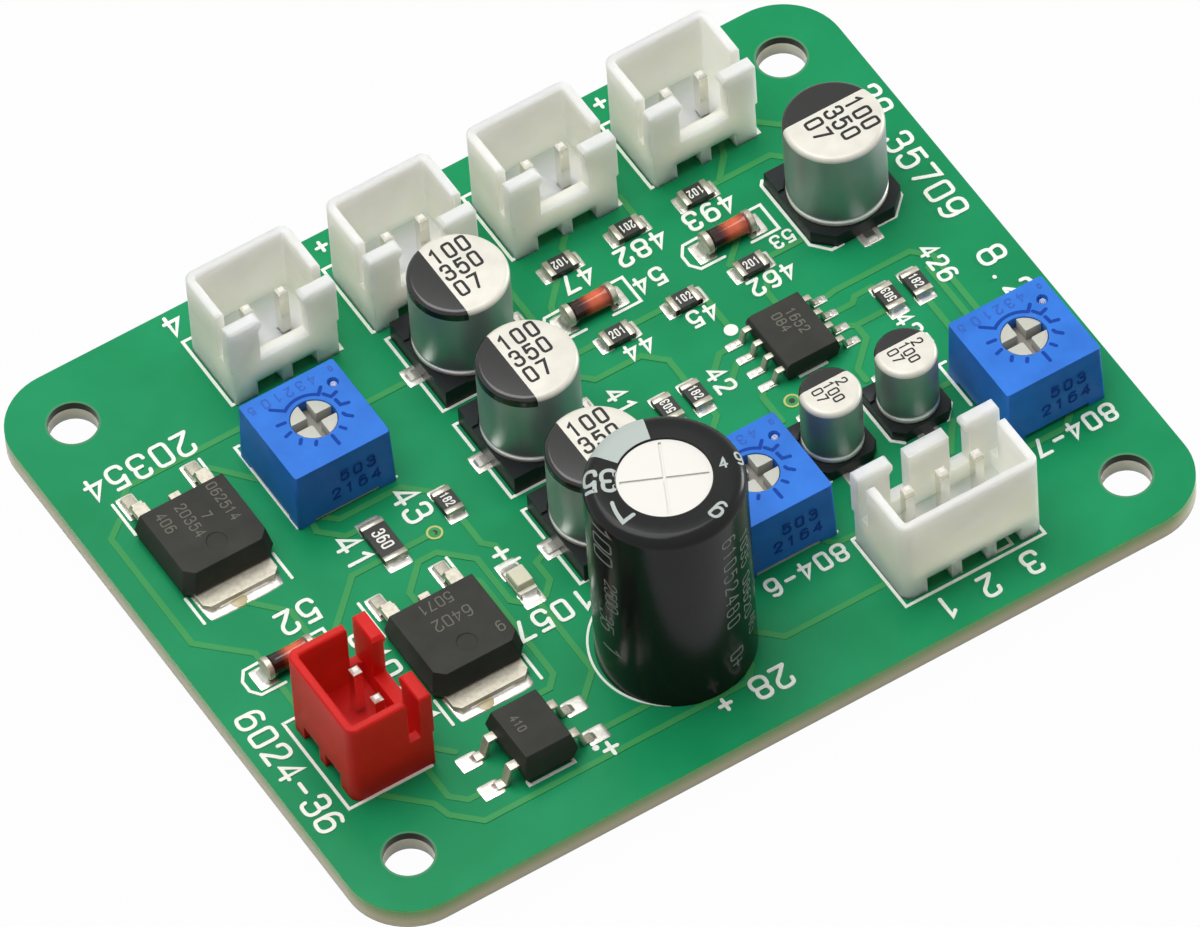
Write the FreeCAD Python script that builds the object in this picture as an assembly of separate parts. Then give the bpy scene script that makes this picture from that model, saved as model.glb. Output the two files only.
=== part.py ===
# Driver board for a pair of level meters: a bare circuit board that carries four meter
# headers, a signal header, a power header, three screwdriver trimmers, electrolytic
# capacitors, two regulators, an amplifier, a bridge rectifier, diodes and chip resistors.
# Frame: origin at the centre of the four mounting holes on the underside of the board,
# +X along the long side, +Y towards the four meter headers, +Z up. Millimetres.
import FreeCAD, Part
import math
import os

Vector = FreeCAD.Vector

# ---- board ----
BOARD_LENGTH = 60.0
BOARD_WIDTH = 48.0
BOARD_THICKNESS = 1.6
BOARD_CORNER_RADIUS = 4.25
MOUNT_HOLE_INSET = 4.25
MOUNT_HOLE_DIAMETER = 3.2
VIA_DIAMETER = 0.5
LEAD_HOLE_CLEARANCE = 0.1

# ---- solder joints on the underside ----
SOLDER_RADIUS = 0.9
SOLDER_HEIGHT = 0.8
SOLDER_TIP_MARGIN = 0.12

# ---- shrouded headers ----
PIN_PITCH = 2.5
PIN_WIDTH = 0.64
TWO_PIN_TIP_HEIGHT = 5.6
THREE_PIN_TIP_HEIGHT = 6.0
PIN_TAIL = 1.5
PIN_TIP_CHAMFER = 0.16
HEADER_END_ALLOWANCE = 5.0
HEADER_DEPTH = 5.75
HEADER_HEIGHT = 7.0
HEADER_WALL = 0.6
LATCH_WALL = 0.9
HEADER_FLOOR = 1.75
HEADER_PLAIN_CORNER_RADIUS = 0.7
HEADER_LATCH_CORNER_RADIUS = 0.15
LATCH_WALL_TO_PINS = 2.35
LATCH_SILL_HEIGHT = 3.2
LATCH_SLIT_WIDTH = 0.8
LATCH_EAR = 0.1
LATCH_LIP = 0.25
LATCH_LIP_HEIGHT = 1.0
TWO_PIN_LATCH_SLOT = 3.5
THREE_PIN_LATCH_SLOT = 1.4
THREE_PIN_CENTRE_BLOCK = 2.9
THREE_PIN_CENTRE_BLOCK_TOP = 6.65
HEADER_RIM_RADIUS = 0.2
FOOT_CHANNEL_WIDTH = 1.8
FOOT_CHANNEL_HEIGHT = 1.3

# ---- trimmers ----
TRIMMER_SIDE = 6.8
TRIMMER_DRAFT = 0.12
TRIMMER_HEIGHT = 4.9
TRIMMER_EDGE_RADIUS = 0.2
TRIMMER_ROOF = 0.9
TRIMMER_CAVITY = 5.9
TRIMMER_CAVITY_RADIUS = 0.6
TRIMMER_FOOT_HEIGHT = 0.3
TRIMMER_FOOT_SIDE = 1.1
GATE_PIT_OFFSET_X = 2.46
GATE_PIT_OFFSET_Y = 1.8
GATE_PIT_DIAMETER = 0.72
GATE_PIT_DEPTH = 0.5
SEAL_BOTTOM = 0.5
SEAL_THICKNESS = 0.6
ELEMENT_THICKNESS = 0.7
INNER_FIT = 0.05
ROTOR_BOSS_DIAMETER = 2.9
ROTOR_RUNNING_FIT = 0.05
ROTOR_TOP_RECESS = 0.05
ROTOR_FLANGE_DIAMETER = 5.3
ROTOR_FLANGE_THICKNESS = 1.3
SCREW_SLOT_WIDTH = 0.6
SCREW_SLOT_DEPTH = 0.9
SCREW_CENTRE_RADIUS = 0.5
SCREW_CENTRE_DEPTH = 0.85
WIPER_RING_OUTER = 3.6
WIPER_RING_INNER = 2.2
WIPER_THICKNESS = 0.15
WIPER_FINGER_WIDTH = 0.6
WIPER_TRACK_RADIUS = 2.2
TRIMMER_LEAD_DIAMETER = 0.5
TRIMMER_LEAD_SPACING = 2.54
TRIMMER_LEAD_TAIL = 1.2

# ---- flat-base capacitors: can diameter, height of its top over the board, side of the base,
# cut across its two plus corners, lead post offset, then the thickness of each base plate ----
LARGE_CAN_DIAMETER = 6.4
LARGE_CAN_TOP = 7.7
LARGE_BASE_SIDE = 6.6
LARGE_BASE_CORNER_CUT = 1.2
LARGE_POST_OFFSET = 1.1
SMALL_CAN_DIAMETER = 3.9
SMALL_CAN_TOP = 5.75
SMALL_BASE_SIDE = 4.3
SMALL_BASE_CORNER_CUT = 0.6
SMALL_POST_OFFSET = 0.6
OUTPUT_BASE_PLATE = 1.4
FILTER_BASE_PLATE = 1.1
COUPLING_BASE_PLATE = 0.9
BASE_CORNER_RISE = 0.2
BASE_CAN_CLEARANCE = 0.1
CAN_WALL = 0.25
CAN_TOP_RADIUS = 0.35
CAN_CURL_HEIGHT = 0.4
CAN_NECK_HEIGHT = 0.25
CAN_NECK_DEPTH = 0.12
BUNG_HEIGHT = 1.2
WINDING_TOP_GAP = 0.3
STRIP_WIDTH = 0.7
STRIP_THICKNESS = 0.2
STRIP_REACH = 0.75
POST_DIAMETER = 0.5

# ---- reservoir capacitor ----
RESERVOIR_DIAMETER = 10.0
RESERVOIR_TOP = 16.4
RESERVOIR_SLEEVE = 0.15
RESERVOIR_SLEEVE_OPENING = 5.85
RESERVOIR_CAN_WALL = 0.35
RESERVOIR_TOP_RADIUS = 0.5
RESERVOIR_STANDOFF = 0.2
RESERVOIR_BUNG_HEIGHT = 2.2
RESERVOIR_WINDING_TOP_GAP = 0.8
VENT_WIDTH = 0.2
VENT_DEPTH = 0.12
VENT_ANGLE = -25.5
RESERVOIR_LEAD_SPACING = 5.0
RESERVOIR_LEAD_DIAMETER = 0.6
RESERVOIR_LEAD_TAIL = 1.3

# ---- regulators ----
REGULATOR_WIDTH = 6.5
REGULATOR_LENGTH = 6.3
REGULATOR_HEIGHT = 2.3
REGULATOR_DRAFT = 0.3
REGULATOR_CORNER_CUT = 0.6
REGULATOR_DIMPLE_DIAMETER = 1.3
REGULATOR_DIMPLE_DEPTH = 0.1
REGULATOR_DIMPLE_OFFSET_Y = -1.4
REGULATOR_FRAME_THICKNESS = 0.5
REGULATOR_TAB_WIDTH = 5.35
REGULATOR_TAB_REACH = 1.2
REGULATOR_TAB_CORNER_CUT = 0.4
REGULATOR_LEAD_SPACING = 4.57
REGULATOR_LEAD_WIDTH = 0.75
REGULATOR_SHOULDER_WIDTH = 0.95
REGULATOR_LEAD_REACH = 2.7
REGULATOR_SHOULDER_REACH = 1.1
REGULATOR_STUB_REACH = 0.75
REGULATOR_LEAD_LEVEL = 0.85

# ---- amplifier ----
AMPLIFIER_WIDTH = 3.9
AMPLIFIER_LENGTH = 4.9
AMPLIFIER_HEIGHT = 1.45
AMPLIFIER_STANDOFF = 0.1
AMPLIFIER_DRAFT = 0.15
AMPLIFIER_BEVEL_WIDTH = 0.2
AMPLIFIER_BEVEL_DROP = 0.2
AMPLIFIER_LEAD_LEVEL = 0.95
AMPLIFIER_LEAD_PITCH = 1.27
AMPLIFIER_LEADS_PER_SIDE = 4
AMPLIFIER_LEAD_WIDTH = 0.42
AMPLIFIER_LEAD_THICKNESS = 0.2
AMPLIFIER_LEAD_REACH = 1.1

# ---- bridge rectifier ----
BRIDGE_WIDTH = 3.8
BRIDGE_LENGTH = 4.7
BRIDGE_HEIGHT = 2.5
BRIDGE_STANDOFF = 0.1
BRIDGE_DRAFT = 0.3
BRIDGE_LEAD_PITCH = 2.54
BRIDGE_LEADS_PER_SIDE = 2
BRIDGE_LEAD_WIDTH = 0.65
BRIDGE_LEAD_THICKNESS = 0.22
BRIDGE_LEAD_REACH = 1.5

# ---- glass diodes ----
DIODE_LENGTH = 3.5
DIODE_CAP_DIAMETER = 1.5
DIODE_CAP_LENGTH = 0.45
DIODE_GLASS_DIAMETER = 1.36

# ---- chip resistors and indicator ----
CHIP_LENGTH = 2.0
CHIP_WIDTH = 1.25
LONG_CHIP_LENGTH = 3.2
LONG_CHIP_WIDTH = 1.6
CHIP_THICKNESS = 0.48
CHIP_COATING = 0.04
CHIP_TERMINAL_LENGTH = 0.4
CHIP_PLATING = 0.04
INDICATOR_BASE_THICKNESS = 0.4
INDICATOR_LENS_LENGTH = 1.5
INDICATOR_LENS_HEIGHT = 0.55
INDICATOR_LENS_DRAFT = 0.08

# ---- placement list: centres on the board, measured from the centre of the mounting holes ----
METER_HEADER_FIRST_X = -12.95
METER_HEADER_SPACING = 10.13
METER_HEADER_Y = 17.6
METER_HEADER_COUNT = 4
SIGNAL_HEADER_AT = (14.3, -17.08)
POWER_HEADER_AT = (-23.08, -11.05)
TRIMMERS_AT = [(-14.98, 8.37), (5.22, -10.2), (24.46, -10.47)]
OUTPUT_CAPACITOR_X = -2.77
OUTPUT_CAPACITOR_FIRST_Y = 11.15
OUTPUT_CAPACITOR_SPACING = 8.03
OUTPUT_CAPACITOR_COUNT = 3
FILTER_CAPACITOR_AT = (22.7, 8.38)
COUPLING_CAPACITORS_AT = [(17.5, -7.95), (12.04, -7.95)]
RESERVOIR_AT = (-3.81, -15.1)
REGULATORS_AT = [(-23.85, 6.9), (-15.2, -8.18)]
AMPLIFIER_AT = (14.3, 0.2)
BRIDGE_AT = (-15.35, -17.2)
DIODES_AT = [(15.3, 9.4), (5.2, 9.35), (-24.3, -3.5)]
CHIPS_ALONG_X_AT = [(15.4, 13.3), (10.45, 13.35), (5.5, 13.25), (15.3, 6.65), (10.4, 6.65), (5.55, 6.65)]
CHIPS_ALONG_Y_AT = [(23.0, -0.2), (21.0, -0.2), (7.1, 0.0), (5.1, 0.05), (-9.9, 1.5)]
LONG_CHIP_AT = (-14.75, 1.1)
INDICATOR_AT = (-9.4, -6.15)
VIAS_AT = [(-11.7, 0.1), (11.85, -3.5)]

TOP = BOARD_THICKNESS


# ---- shape helpers ----
def box(x0, x1, y0, y1, z0, z1):
    return Part.makeBox(x1 - x0, y1 - y0, z1 - z0, Vector(x0, y0, z0))


def cylinder(radius, x, y, z0, z1):
    return Part.makeCylinder(radius, z1 - z0, Vector(x, y, z0))


def polygon_wire(points):
    return Part.makePolygon(points + [points[0]])


def rectangle_wire(x0, x1, y0, y1, z):
    return polygon_wire([Vector(x0, y0, z), Vector(x1, y0, z), Vector(x1, y1, z), Vector(x0, y1, z)])


def rounded_slab(x0, x1, y0, y1, radii, z0, z1):
    """Upright prism over a rectangle whose corners, counted from (x0, y0), have the given radii."""
    corners = [(x0, y0), (x1, y0), (x1, y1), (x0, y1)]
    along = [(1, 0), (0, 1), (-1, 0), (0, -1)]
    edges = []
    ends = []
    for i, (cx, cy) in enumerate(corners):
        radius = radii[i]
        before, after = along[i - 1], along[i]
        enter = Vector(cx - before[0] * radius, cy - before[1] * radius, z0)
        leave = Vector(cx + after[0] * radius, cy + after[1] * radius, z0)
        bulge = radius * (1 - math.sqrt(0.5))
        inward = (after[0] - before[0], after[1] - before[1])
        middle = Vector(cx + inward[0] * bulge, cy + inward[1] * bulge, z0)
        ends.append((enter, middle, leave))
    for i, (enter, middle, leave) in enumerate(ends):
        edges.append(Part.makeLine(ends[i - 1][2], enter))
        edges.append(Part.Arc(enter, middle, leave).toShape())
    return Part.Face(Part.Wire(edges)).extrude(Vector(0, 0, z1 - z0))


def tapered(sections):
    """Solid through rectangles (x0, x1, y0, y1, z), with flat sides from each to the next."""
    return Part.makeLoft([rectangle_wire(*section) for section in sections], True, True)


def plate_across(points_xz, y0, y1):
    """Flat plate with an outline in X and Z, from y0 to y1."""
    outline = polygon_wire([Vector(x, y0, z) for x, z in points_xz])
    return Part.Face(outline).extrude(Vector(0, y1 - y0, 0))


def turned(profile, x=0.0, y=0.0):
    """Solid of revolution about an upright axis; the profile is (radius, height) points or arcs."""
    edges = []
    for start, step in zip(profile, profile[1:] + profile[:1]):
        a = Vector(start[0], 0, start[1])
        b = Vector(step[0], 0, step[1])
        if len(step) == 4:
            edges.append(Part.Arc(a, Vector(step[2], 0, step[3]), b).toShape())
        elif a.distanceToPoint(b) > 1e-9:
            edges.append(Part.makeLine(a, b))
    solid = Part.Face(Part.Wire(edges)).revolve(Vector(0, 0, 0), Vector(0, 0, 1), 360)
    solid.translate(Vector(x, y, 0))
    return solid


def shoulder(radius, height, round_over):
    """Profile points that round the outer edge at the top of a can."""
    bulge = round_over * math.sqrt(0.5)
    return [
        (radius, height - round_over),
        (radius - round_over, height, radius - round_over + bulge, height - round_over + bulge),
    ]


def placed(shape, at, angle=0.0, z=TOP):
    """Copy of a shape turned about its own upright axis and set on the board."""
    copy = shape.copy()
    copy.rotate(Vector(0, 0, 0), Vector(0, 0, 1), angle)
    copy.translate(Vector(at[0], at[1], z))
    return copy


def placed_point(x, y, at, angle=0.0):
    a = math.radians(angle)
    return (at[0] + x * math.cos(a) - y * math.sin(a), at[1] + x * math.sin(a) + y * math.cos(a))


def save(name, solids):
    shape = solids[0] if len(solids) == 1 else Part.makeCompound(solids)
    shape.exportStep("parts/" + name + ".step")


# ---- shrouded headers: pins along X on y = 0, latch wall towards -Y, seat at z = 0 ----
def header_length(pin_count):
    return PIN_PITCH * (pin_count - 1) + HEADER_END_ALLOWANCE


def pin_positions(pin_count):
    return [PIN_PITCH * (i - (pin_count - 1) / 2) for i in range(pin_count)]


def latch_tab(outer_x, inner_x, y0):
    """One end tab of the latch wall: an ear outside, a hooked lip towards the slot."""
    out = -1 if outer_x < inner_x else 1
    top = HEADER_HEIGHT
    lip_foot = top - LATCH_LIP_HEIGHT
    outline = [
        (outer_x, LATCH_SILL_HEIGHT),
        (outer_x + out * LATCH_EAR, LATCH_SILL_HEIGHT + LATCH_EAR),
        (outer_x + out * LATCH_EAR, top),
        (inner_x, top),
        (inner_x - out * LATCH_LIP, top - LATCH_LIP),
        (inner_x - out * LATCH_LIP, (top - LATCH_LIP + lip_foot) / 2),
        (inner_x, lip_foot),
        (inner_x, LATCH_SILL_HEIGHT),
    ]
    return plate_across(outline, y0, y0 + LATCH_WALL)


def header_housing(pin_count):
    half = header_length(pin_count) / 2
    y0 = -LATCH_WALL_TO_PINS
    y1 = y0 + HEADER_DEPTH
    wall = HEADER_WALL
    latch_back = y0 + LATCH_WALL
    small, large = HEADER_LATCH_CORNER_RADIUS, HEADER_PLAIN_CORNER_RADIUS
    inner = max(large - wall, small)
    body = rounded_slab(-half, half, y0, y1, (small, small, large, large), 0, HEADER_HEIGHT)
    body = body.cut(rounded_slab(-half + wall, half - wall, latch_back, y1 - wall,
                                 (small, small, inner, inner), HEADER_FLOOR, HEADER_HEIGHT))
    # above the sill the latch wall stands free of the side walls
    body = body.cut(box(-half, half, y0, latch_back + LATCH_SLIT_WIDTH, LATCH_SILL_HEIGHT, HEADER_HEIGHT))
    if pin_count == 2:
        inner_edge = TWO_PIN_LATCH_SLOT / 2
    else:
        inner_edge = THREE_PIN_CENTRE_BLOCK / 2 + THREE_PIN_LATCH_SLOT
        block_half = THREE_PIN_CENTRE_BLOCK / 2
        body = body.fuse(box(-block_half, block_half, y0, latch_back,
                             LATCH_SILL_HEIGHT, THREE_PIN_CENTRE_BLOCK_TOP))
    body = body.fuse([latch_tab(-half, -inner_edge, y0), latch_tab(half, inner_edge, y0)])
    half_channel = FOOT_CHANNEL_WIDTH / 2
    half_pin = PIN_WIDTH / 2
    for x in pin_positions(pin_count):
        body = body.cut(box(x - half_channel, x + half_channel, y0, y1, 0, FOOT_CHANNEL_HEIGHT))
        body = body.cut(box(x - half_pin, x + half_pin, -half_pin, half_pin, 0, HEADER_FLOOR))
    body = body.removeSplitter()
    return body.makeFillet(HEADER_RIM_RADIUS, long_rim_edges(body))


def long_rim_edges(body):
    """Edges of the highest faces that are long enough to take the rim's rounding."""
    rim = []
    for edge in body.Edges:
        box_of_edge = edge.BoundBox
        in_rim = abs(box_of_edge.ZMin - HEADER_HEIGHT) < 1e-6
        if in_rim and edge.Length > 2 * HEADER_RIM_RADIUS:
            rim.append(edge)
    return rim


def header_pin(tip_height):
    """Square pin with chamfered ends; its tail goes through the board."""
    half = PIN_WIDTH / 2
    tip = half - PIN_TIP_CHAMFER
    low = -(BOARD_THICKNESS + PIN_TAIL)
    return tapered([
        (-tip, tip, -tip, tip, low),
        (-half, half, -half, half, low + PIN_TIP_CHAMFER),
        (-half, half, -half, half, tip_height - PIN_TIP_CHAMFER),
        (-tip, tip, -tip, tip, tip_height),
    ])


# ---- trimmers: axis at the origin, seat at z = 0 ----
ELEMENT_BOTTOM = SEAL_BOTTOM + SEAL_THICKNESS
ELEMENT_TOP = ELEMENT_BOTTOM + ELEMENT_THICKNESS
FLANGE_TOP = TRIMMER_HEIGHT - TRIMMER_ROOF - INNER_FIT
FLANGE_BOTTOM = FLANGE_TOP - ROTOR_FLANGE_THICKNESS


def trimmer_lead_positions():
    reach = TRIMMER_LEAD_SPACING
    return [(-reach, -reach / 2), (0, reach / 2), (reach, -reach / 2)]


def cavity_slab(clearance, z0, z1):
    """Rounded square that fills the trimmer's cavity, less a clearance all round."""
    half = TRIMMER_CAVITY / 2 - clearance
    radius = TRIMMER_CAVITY_RADIUS - clearance
    return rounded_slab(-half, half, -half, half, (radius,) * 4, z0, z1)


def trimmer_section(z):
    """Rounded square outline of the drafted housing at one height."""
    spread = TRIMMER_DRAFT * (TRIMMER_HEIGHT - z) / TRIMMER_HEIGHT
    half = TRIMMER_SIDE / 2 + spread
    slab = rounded_slab(-half, half, -half, half, (TRIMMER_EDGE_RADIUS,) * 4, z, z + 1)
    for face in slab.Faces:
        if abs(face.CenterOfMass.z - z) < 1e-6:
            return face.OuterWire


def trimmer_housing():
    body = Part.makeLoft([trimmer_section(0), trimmer_section(TRIMMER_HEIGHT)], True, True)
    body = body.cut(cavity_slab(0, 0, TRIMMER_HEIGHT - TRIMMER_ROOF))
    # the lower rim stands on four corner feet
    reach = TRIMMER_SIDE / 2 + TRIMMER_DRAFT
    open_half = TRIMMER_SIDE / 2 - TRIMMER_FOOT_SIDE
    body = body.cut([box(-reach, reach, -open_half, open_half, 0, TRIMMER_FOOT_HEIGHT),
                     box(-open_half, open_half, -reach, reach, 0, TRIMMER_FOOT_HEIGHT)])
    shaft_hole = ROTOR_BOSS_DIAMETER / 2 + ROTOR_RUNNING_FIT
    body = body.cut(cylinder(shaft_hole, 0, 0, TRIMMER_HEIGHT - TRIMMER_ROOF, TRIMMER_HEIGHT))
    body = body.cut(cylinder(GATE_PIT_DIAMETER / 2, GATE_PIT_OFFSET_X, GATE_PIT_OFFSET_Y,
                             TRIMMER_HEIGHT - GATE_PIT_DEPTH, TRIMMER_HEIGHT))
    return body.removeSplitter()


def trimmer_rotor():
    """Rotor with a wide flange inside and a cross-slotted boss that fills the round opening."""
    top = TRIMMER_HEIGHT - ROTOR_TOP_RECESS
    boss = ROTOR_BOSS_DIAMETER / 2
    flange = ROTOR_FLANGE_DIAMETER / 2
    body = turned([(0, FLANGE_BOTTOM), (flange, FLANGE_BOTTOM), (flange, FLANGE_TOP),
                   (boss, FLANGE_TOP), (boss, top), (0, top)])
    slot = SCREW_SLOT_WIDTH / 2
    floor = top - SCREW_SLOT_DEPTH
    cross = box(-boss, boss, -slot, slot, floor, top).fuse(box(-slot, slot, -boss, boss, floor, top))
    centre = Part.makeCone(0, SCREW_CENTRE_RADIUS, SCREW_CENTRE_DEPTH, Vector(0, 0, top - SCREW_CENTRE_DEPTH))
    return body.cut([cross, centre]).removeSplitter()


def trimmer_wiper():
    """Spring ring under the rotor with one finger whose tip runs just above the element."""
    top = FLANGE_BOTTOM
    bottom = top - WIPER_THICKNESS
    half = WIPER_FINGER_WIDTH / 2
    outer_end = WIPER_TRACK_RADIUS + half
    ring = cylinder(WIPER_RING_OUTER / 2, 0, 0, bottom, top)
    finger = box(0, outer_end, -half, half, bottom, top)
    tip = box(WIPER_TRACK_RADIUS, outer_end, -half, half, ELEMENT_TOP + INNER_FIT, bottom)
    body = ring.fuse([finger, tip])
    return body.cut(cylinder(WIPER_RING_INNER / 2, 0, 0, bottom, top)).removeSplitter()


def trimmer_lead():
    return cylinder(TRIMMER_LEAD_DIAMETER / 2, 0, 0, -(BOARD_THICKNESS + TRIMMER_LEAD_TAIL), ELEMENT_BOTTOM)


def trimmer_seal():
    body = cavity_slab(0, SEAL_BOTTOM, ELEMENT_BOTTOM)
    for x, y in trimmer_lead_positions():
        body = body.cut(cylinder(TRIMMER_LEAD_DIAMETER / 2, x, y, SEAL_BOTTOM, ELEMENT_BOTTOM))
    return body


def trimmer_element():
    return cavity_slab(INNER_FIT, ELEMENT_BOTTOM, ELEMENT_TOP)


# ---- flat-base capacitors: strips along X, minus strip towards -X, seat at z = 0 ----
class FlatBase:
    """One size of flat-base capacitor; every part of it is cut from the same few sizes."""

    def __init__(self, diameter, top, side, plate, corner_cut, post_offset):
        self.radius = diameter / 2
        self.top = top
        self.half = side / 2
        self.plate = plate
        self.corner_cut = corner_cut
        self.post_offset = post_offset
        self.inner = self.radius - CAN_NECK_DEPTH - CAN_WALL
        self.bung_top = plate + BUNG_HEIGHT

    def post(self, side):
        """Round post from the strip up into the rubber bung."""
        return cylinder(POST_DIAMETER / 2, side * self.post_offset, 0, STRIP_THICKNESS, self.bung_top)

    def strip(self, side):
        """Flat lead under the base, with its post."""
        half = STRIP_WIDTH / 2
        near, far = sorted((side * (self.post_offset - half), side * (self.half + STRIP_REACH)))
        return box(near, far, -half, half, 0, STRIP_THICKNESS).fuse(self.post(side)).removeSplitter()

    def base(self):
        """Square moulding: a plate, two raised corners on the minus side, two cut ones on the other."""
        half, cut = self.half, self.corner_cut
        outline = [Vector(x, y, 0) for x, y in (
            (-half, -half), (half - cut, -half), (half, cut - half),
            (half, half - cut), (half - cut, half), (-half, half))]
        corner_top = self.plate + BASE_CORNER_RISE
        body = Part.Face(polygon_wire(outline)).extrude(Vector(0, 0, corner_top))
        body = body.cut(cylinder(self.radius + BASE_CAN_CLEARANCE, 0, 0, self.plate, corner_top))
        gap = self.radius / 2
        body = body.cut([box(-half, half, -gap, gap, self.plate, corner_top),
                         box(-gap, half, -half, half, self.plate, corner_top)])
        return body.cut([self.strip(side) for side in (-1, 1)]).removeSplitter()

    def can(self):
        """Drawn can, open below, with the curled foot and the neck that grip the bung."""
        foot = self.plate
        curl_top = foot + CAN_CURL_HEIGHT
        neck_top = curl_top + CAN_NECK_HEIGHT
        neck = self.radius - CAN_NECK_DEPTH
        roof = self.top - CAN_WALL
        profile = [(self.inner, foot), (self.radius, foot), (self.radius, curl_top), (neck, curl_top),
                   (neck, (curl_top + neck_top) / 2), (self.radius, neck_top)]
        profile += shoulder(self.radius, self.top, CAN_TOP_RADIUS)
        profile += [(0, self.top), (0, roof), (self.inner, roof)]
        return turned(profile)

    def bung(self):
        body = cylinder(self.inner, 0, 0, self.plate, self.bung_top)
        return body.cut([self.post(side) for side in (-1, 1)])

    def winding(self):
        top = self.top - CAN_WALL - WINDING_TOP_GAP
        return cylinder(self.inner - INNER_FIT, 0, 0, self.bung_top, top)


# ---- reservoir capacitor: leads along Y, seat at z = 0 ----
def reservoir_parts():
    sleeve_radius = RESERVOIR_DIAMETER / 2
    can_radius = sleeve_radius - RESERVOIR_SLEEVE
    can_top = RESERVOIR_TOP - RESERVOIR_SLEEVE
    can_bottom = RESERVOIR_STANDOFF
    opening = RESERVOIR_SLEEVE_OPENING / 2
    inner = can_radius - RESERVOIR_CAN_WALL
    can_corner = RESERVOIR_TOP_RADIUS - RESERVOIR_SLEEVE

    sleeve_outer = shoulder(sleeve_radius, RESERVOIR_TOP, RESERVOIR_TOP_RADIUS)
    can_outer = shoulder(can_radius, can_top, can_corner)
    round_start, round_end = can_outer
    sleeve = turned([(can_radius, 0), (sleeve_radius, 0)] + sleeve_outer
                    + [(opening, RESERVOIR_TOP), (opening, can_top), (round_end[0], round_end[1]),
                       (round_start[0], round_start[1], round_end[2], round_end[3])])
    can = turned([(inner, can_bottom), (can_radius, can_bottom)] + can_outer
                 + [(0, can_top), (0, can_top - RESERVOIR_CAN_WALL), (inner, can_top - RESERVOIR_CAN_WALL)])
    half_vent = VENT_WIDTH / 2
    reach = opening - VENT_WIDTH
    vent_floor = can_top - VENT_DEPTH
    vent = box(-reach, reach, -half_vent, half_vent, vent_floor, can_top)
    vent = vent.fuse(box(-half_vent, half_vent, -reach, reach, vent_floor, can_top))
    vent.rotate(Vector(0, 0, 0), Vector(0, 0, 1), VENT_ANGLE)
    can = can.cut(vent).removeSplitter()
    bung_top = can_bottom + RESERVOIR_BUNG_HEIGHT
    bung = cylinder(inner, 0, 0, can_bottom, bung_top)
    winding = cylinder(inner - INNER_FIT, 0, 0, bung_top,
                       can_top - RESERVOIR_CAN_WALL - RESERVOIR_WINDING_TOP_GAP)
    leads = []
    for y in reservoir_lead_offsets():
        lead = cylinder(RESERVOIR_LEAD_DIAMETER / 2, 0, y, -(BOARD_THICKNESS + RESERVOIR_LEAD_TAIL), bung_top)
        leads.append(lead)
        bung = bung.cut(lead)
    return sleeve, can, bung, winding, leads


def reservoir_lead_offsets():
    return (-RESERVOIR_LEAD_SPACING / 2, RESERVOIR_LEAD_SPACING / 2)


# ---- regulators: leads towards +Y, cooling tab towards -Y, seat at z = 0 ----
def regulator_frame():
    """Heat tab with its cut centre lead, and the two outer leads bent down to the board."""
    back = REGULATOR_LENGTH / 2
    thick = REGULATOR_FRAME_THICKNESS
    half_tab = REGULATOR_TAB_WIDTH / 2
    tab_end = -back - REGULATOR_TAB_REACH
    cut = REGULATOR_TAB_CORNER_CUT
    level = REGULATOR_LEAD_LEVEL
    half_lead = REGULATOR_LEAD_WIDTH / 2
    half_shoulder = REGULATOR_SHOULDER_WIDTH / 2
    pad_back = back / 2
    outline = [Vector(x, y, 0) for x, y in (
        (-half_tab, pad_back), (-half_tab, tab_end + cut), (cut - half_tab, tab_end),
        (half_tab - cut, tab_end), (half_tab, tab_end + cut), (half_tab, pad_back))]
    tab = Part.Face(polygon_wire(outline)).extrude(Vector(0, 0, thick))
    riser = box(-half_lead, half_lead, pad_back - thick, pad_back, 0, level + thick)
    stub = box(-half_lead, half_lead, pad_back - thick, back + REGULATOR_STUB_REACH, level, level + thick)
    tab = tab.fuse([riser, stub]).removeSplitter()
    knee = back + REGULATOR_SHOULDER_REACH
    toe = back + REGULATOR_LEAD_REACH
    heel = knee + level / 2
    leads = []
    for side in (-1, 1):
        x = side * REGULATOR_LEAD_SPACING / 2
        arm = box(x - half_shoulder, x + half_shoulder, pad_back, knee, level, level + thick)
        drop = [Vector(x - half_lead, y, z) for y, z in (
            (knee - thick / 2, level), (knee, level), (heel, 0), (toe, 0), (toe, thick),
            (heel + thick / 2, thick), (knee + thick / 2, level + thick), (knee - thick / 2, level + thick))]
        bend = Part.Face(polygon_wire(drop)).extrude(Vector(REGULATOR_LEAD_WIDTH, 0, 0))
        leads.append(arm.fuse(bend).removeSplitter())
    return [tab] + leads


def regulator_body(frame):
    """Moulded block with drafted sides and cut corners at the tab end."""
    wires = []
    levels = ((0.0, REGULATOR_DRAFT / 2), (REGULATOR_LEAD_LEVEL, 0.0), (REGULATOR_HEIGHT, REGULATOR_DRAFT))
    for z, inset in levels:
        half_x = REGULATOR_WIDTH / 2 - inset
        half_y = REGULATOR_LENGTH / 2 - inset
        cut = REGULATOR_CORNER_CUT
        wires.append(polygon_wire([
            Vector(-half_x, cut - half_y, z), Vector(cut - half_x, -half_y, z),
            Vector(half_x - cut, -half_y, z), Vector(half_x, cut - half_y, z),
            Vector(half_x, half_y, z), Vector(-half_x, half_y, z)]))
    body = Part.makeLoft(wires, True, True)
    dimple = cylinder(REGULATOR_DIMPLE_DIAMETER / 2, 0, REGULATOR_DIMPLE_OFFSET_Y,
                      REGULATOR_HEIGHT - REGULATOR_DIMPLE_DEPTH, REGULATOR_HEIGHT)
    return body.cut(frame + [dimple])


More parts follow.
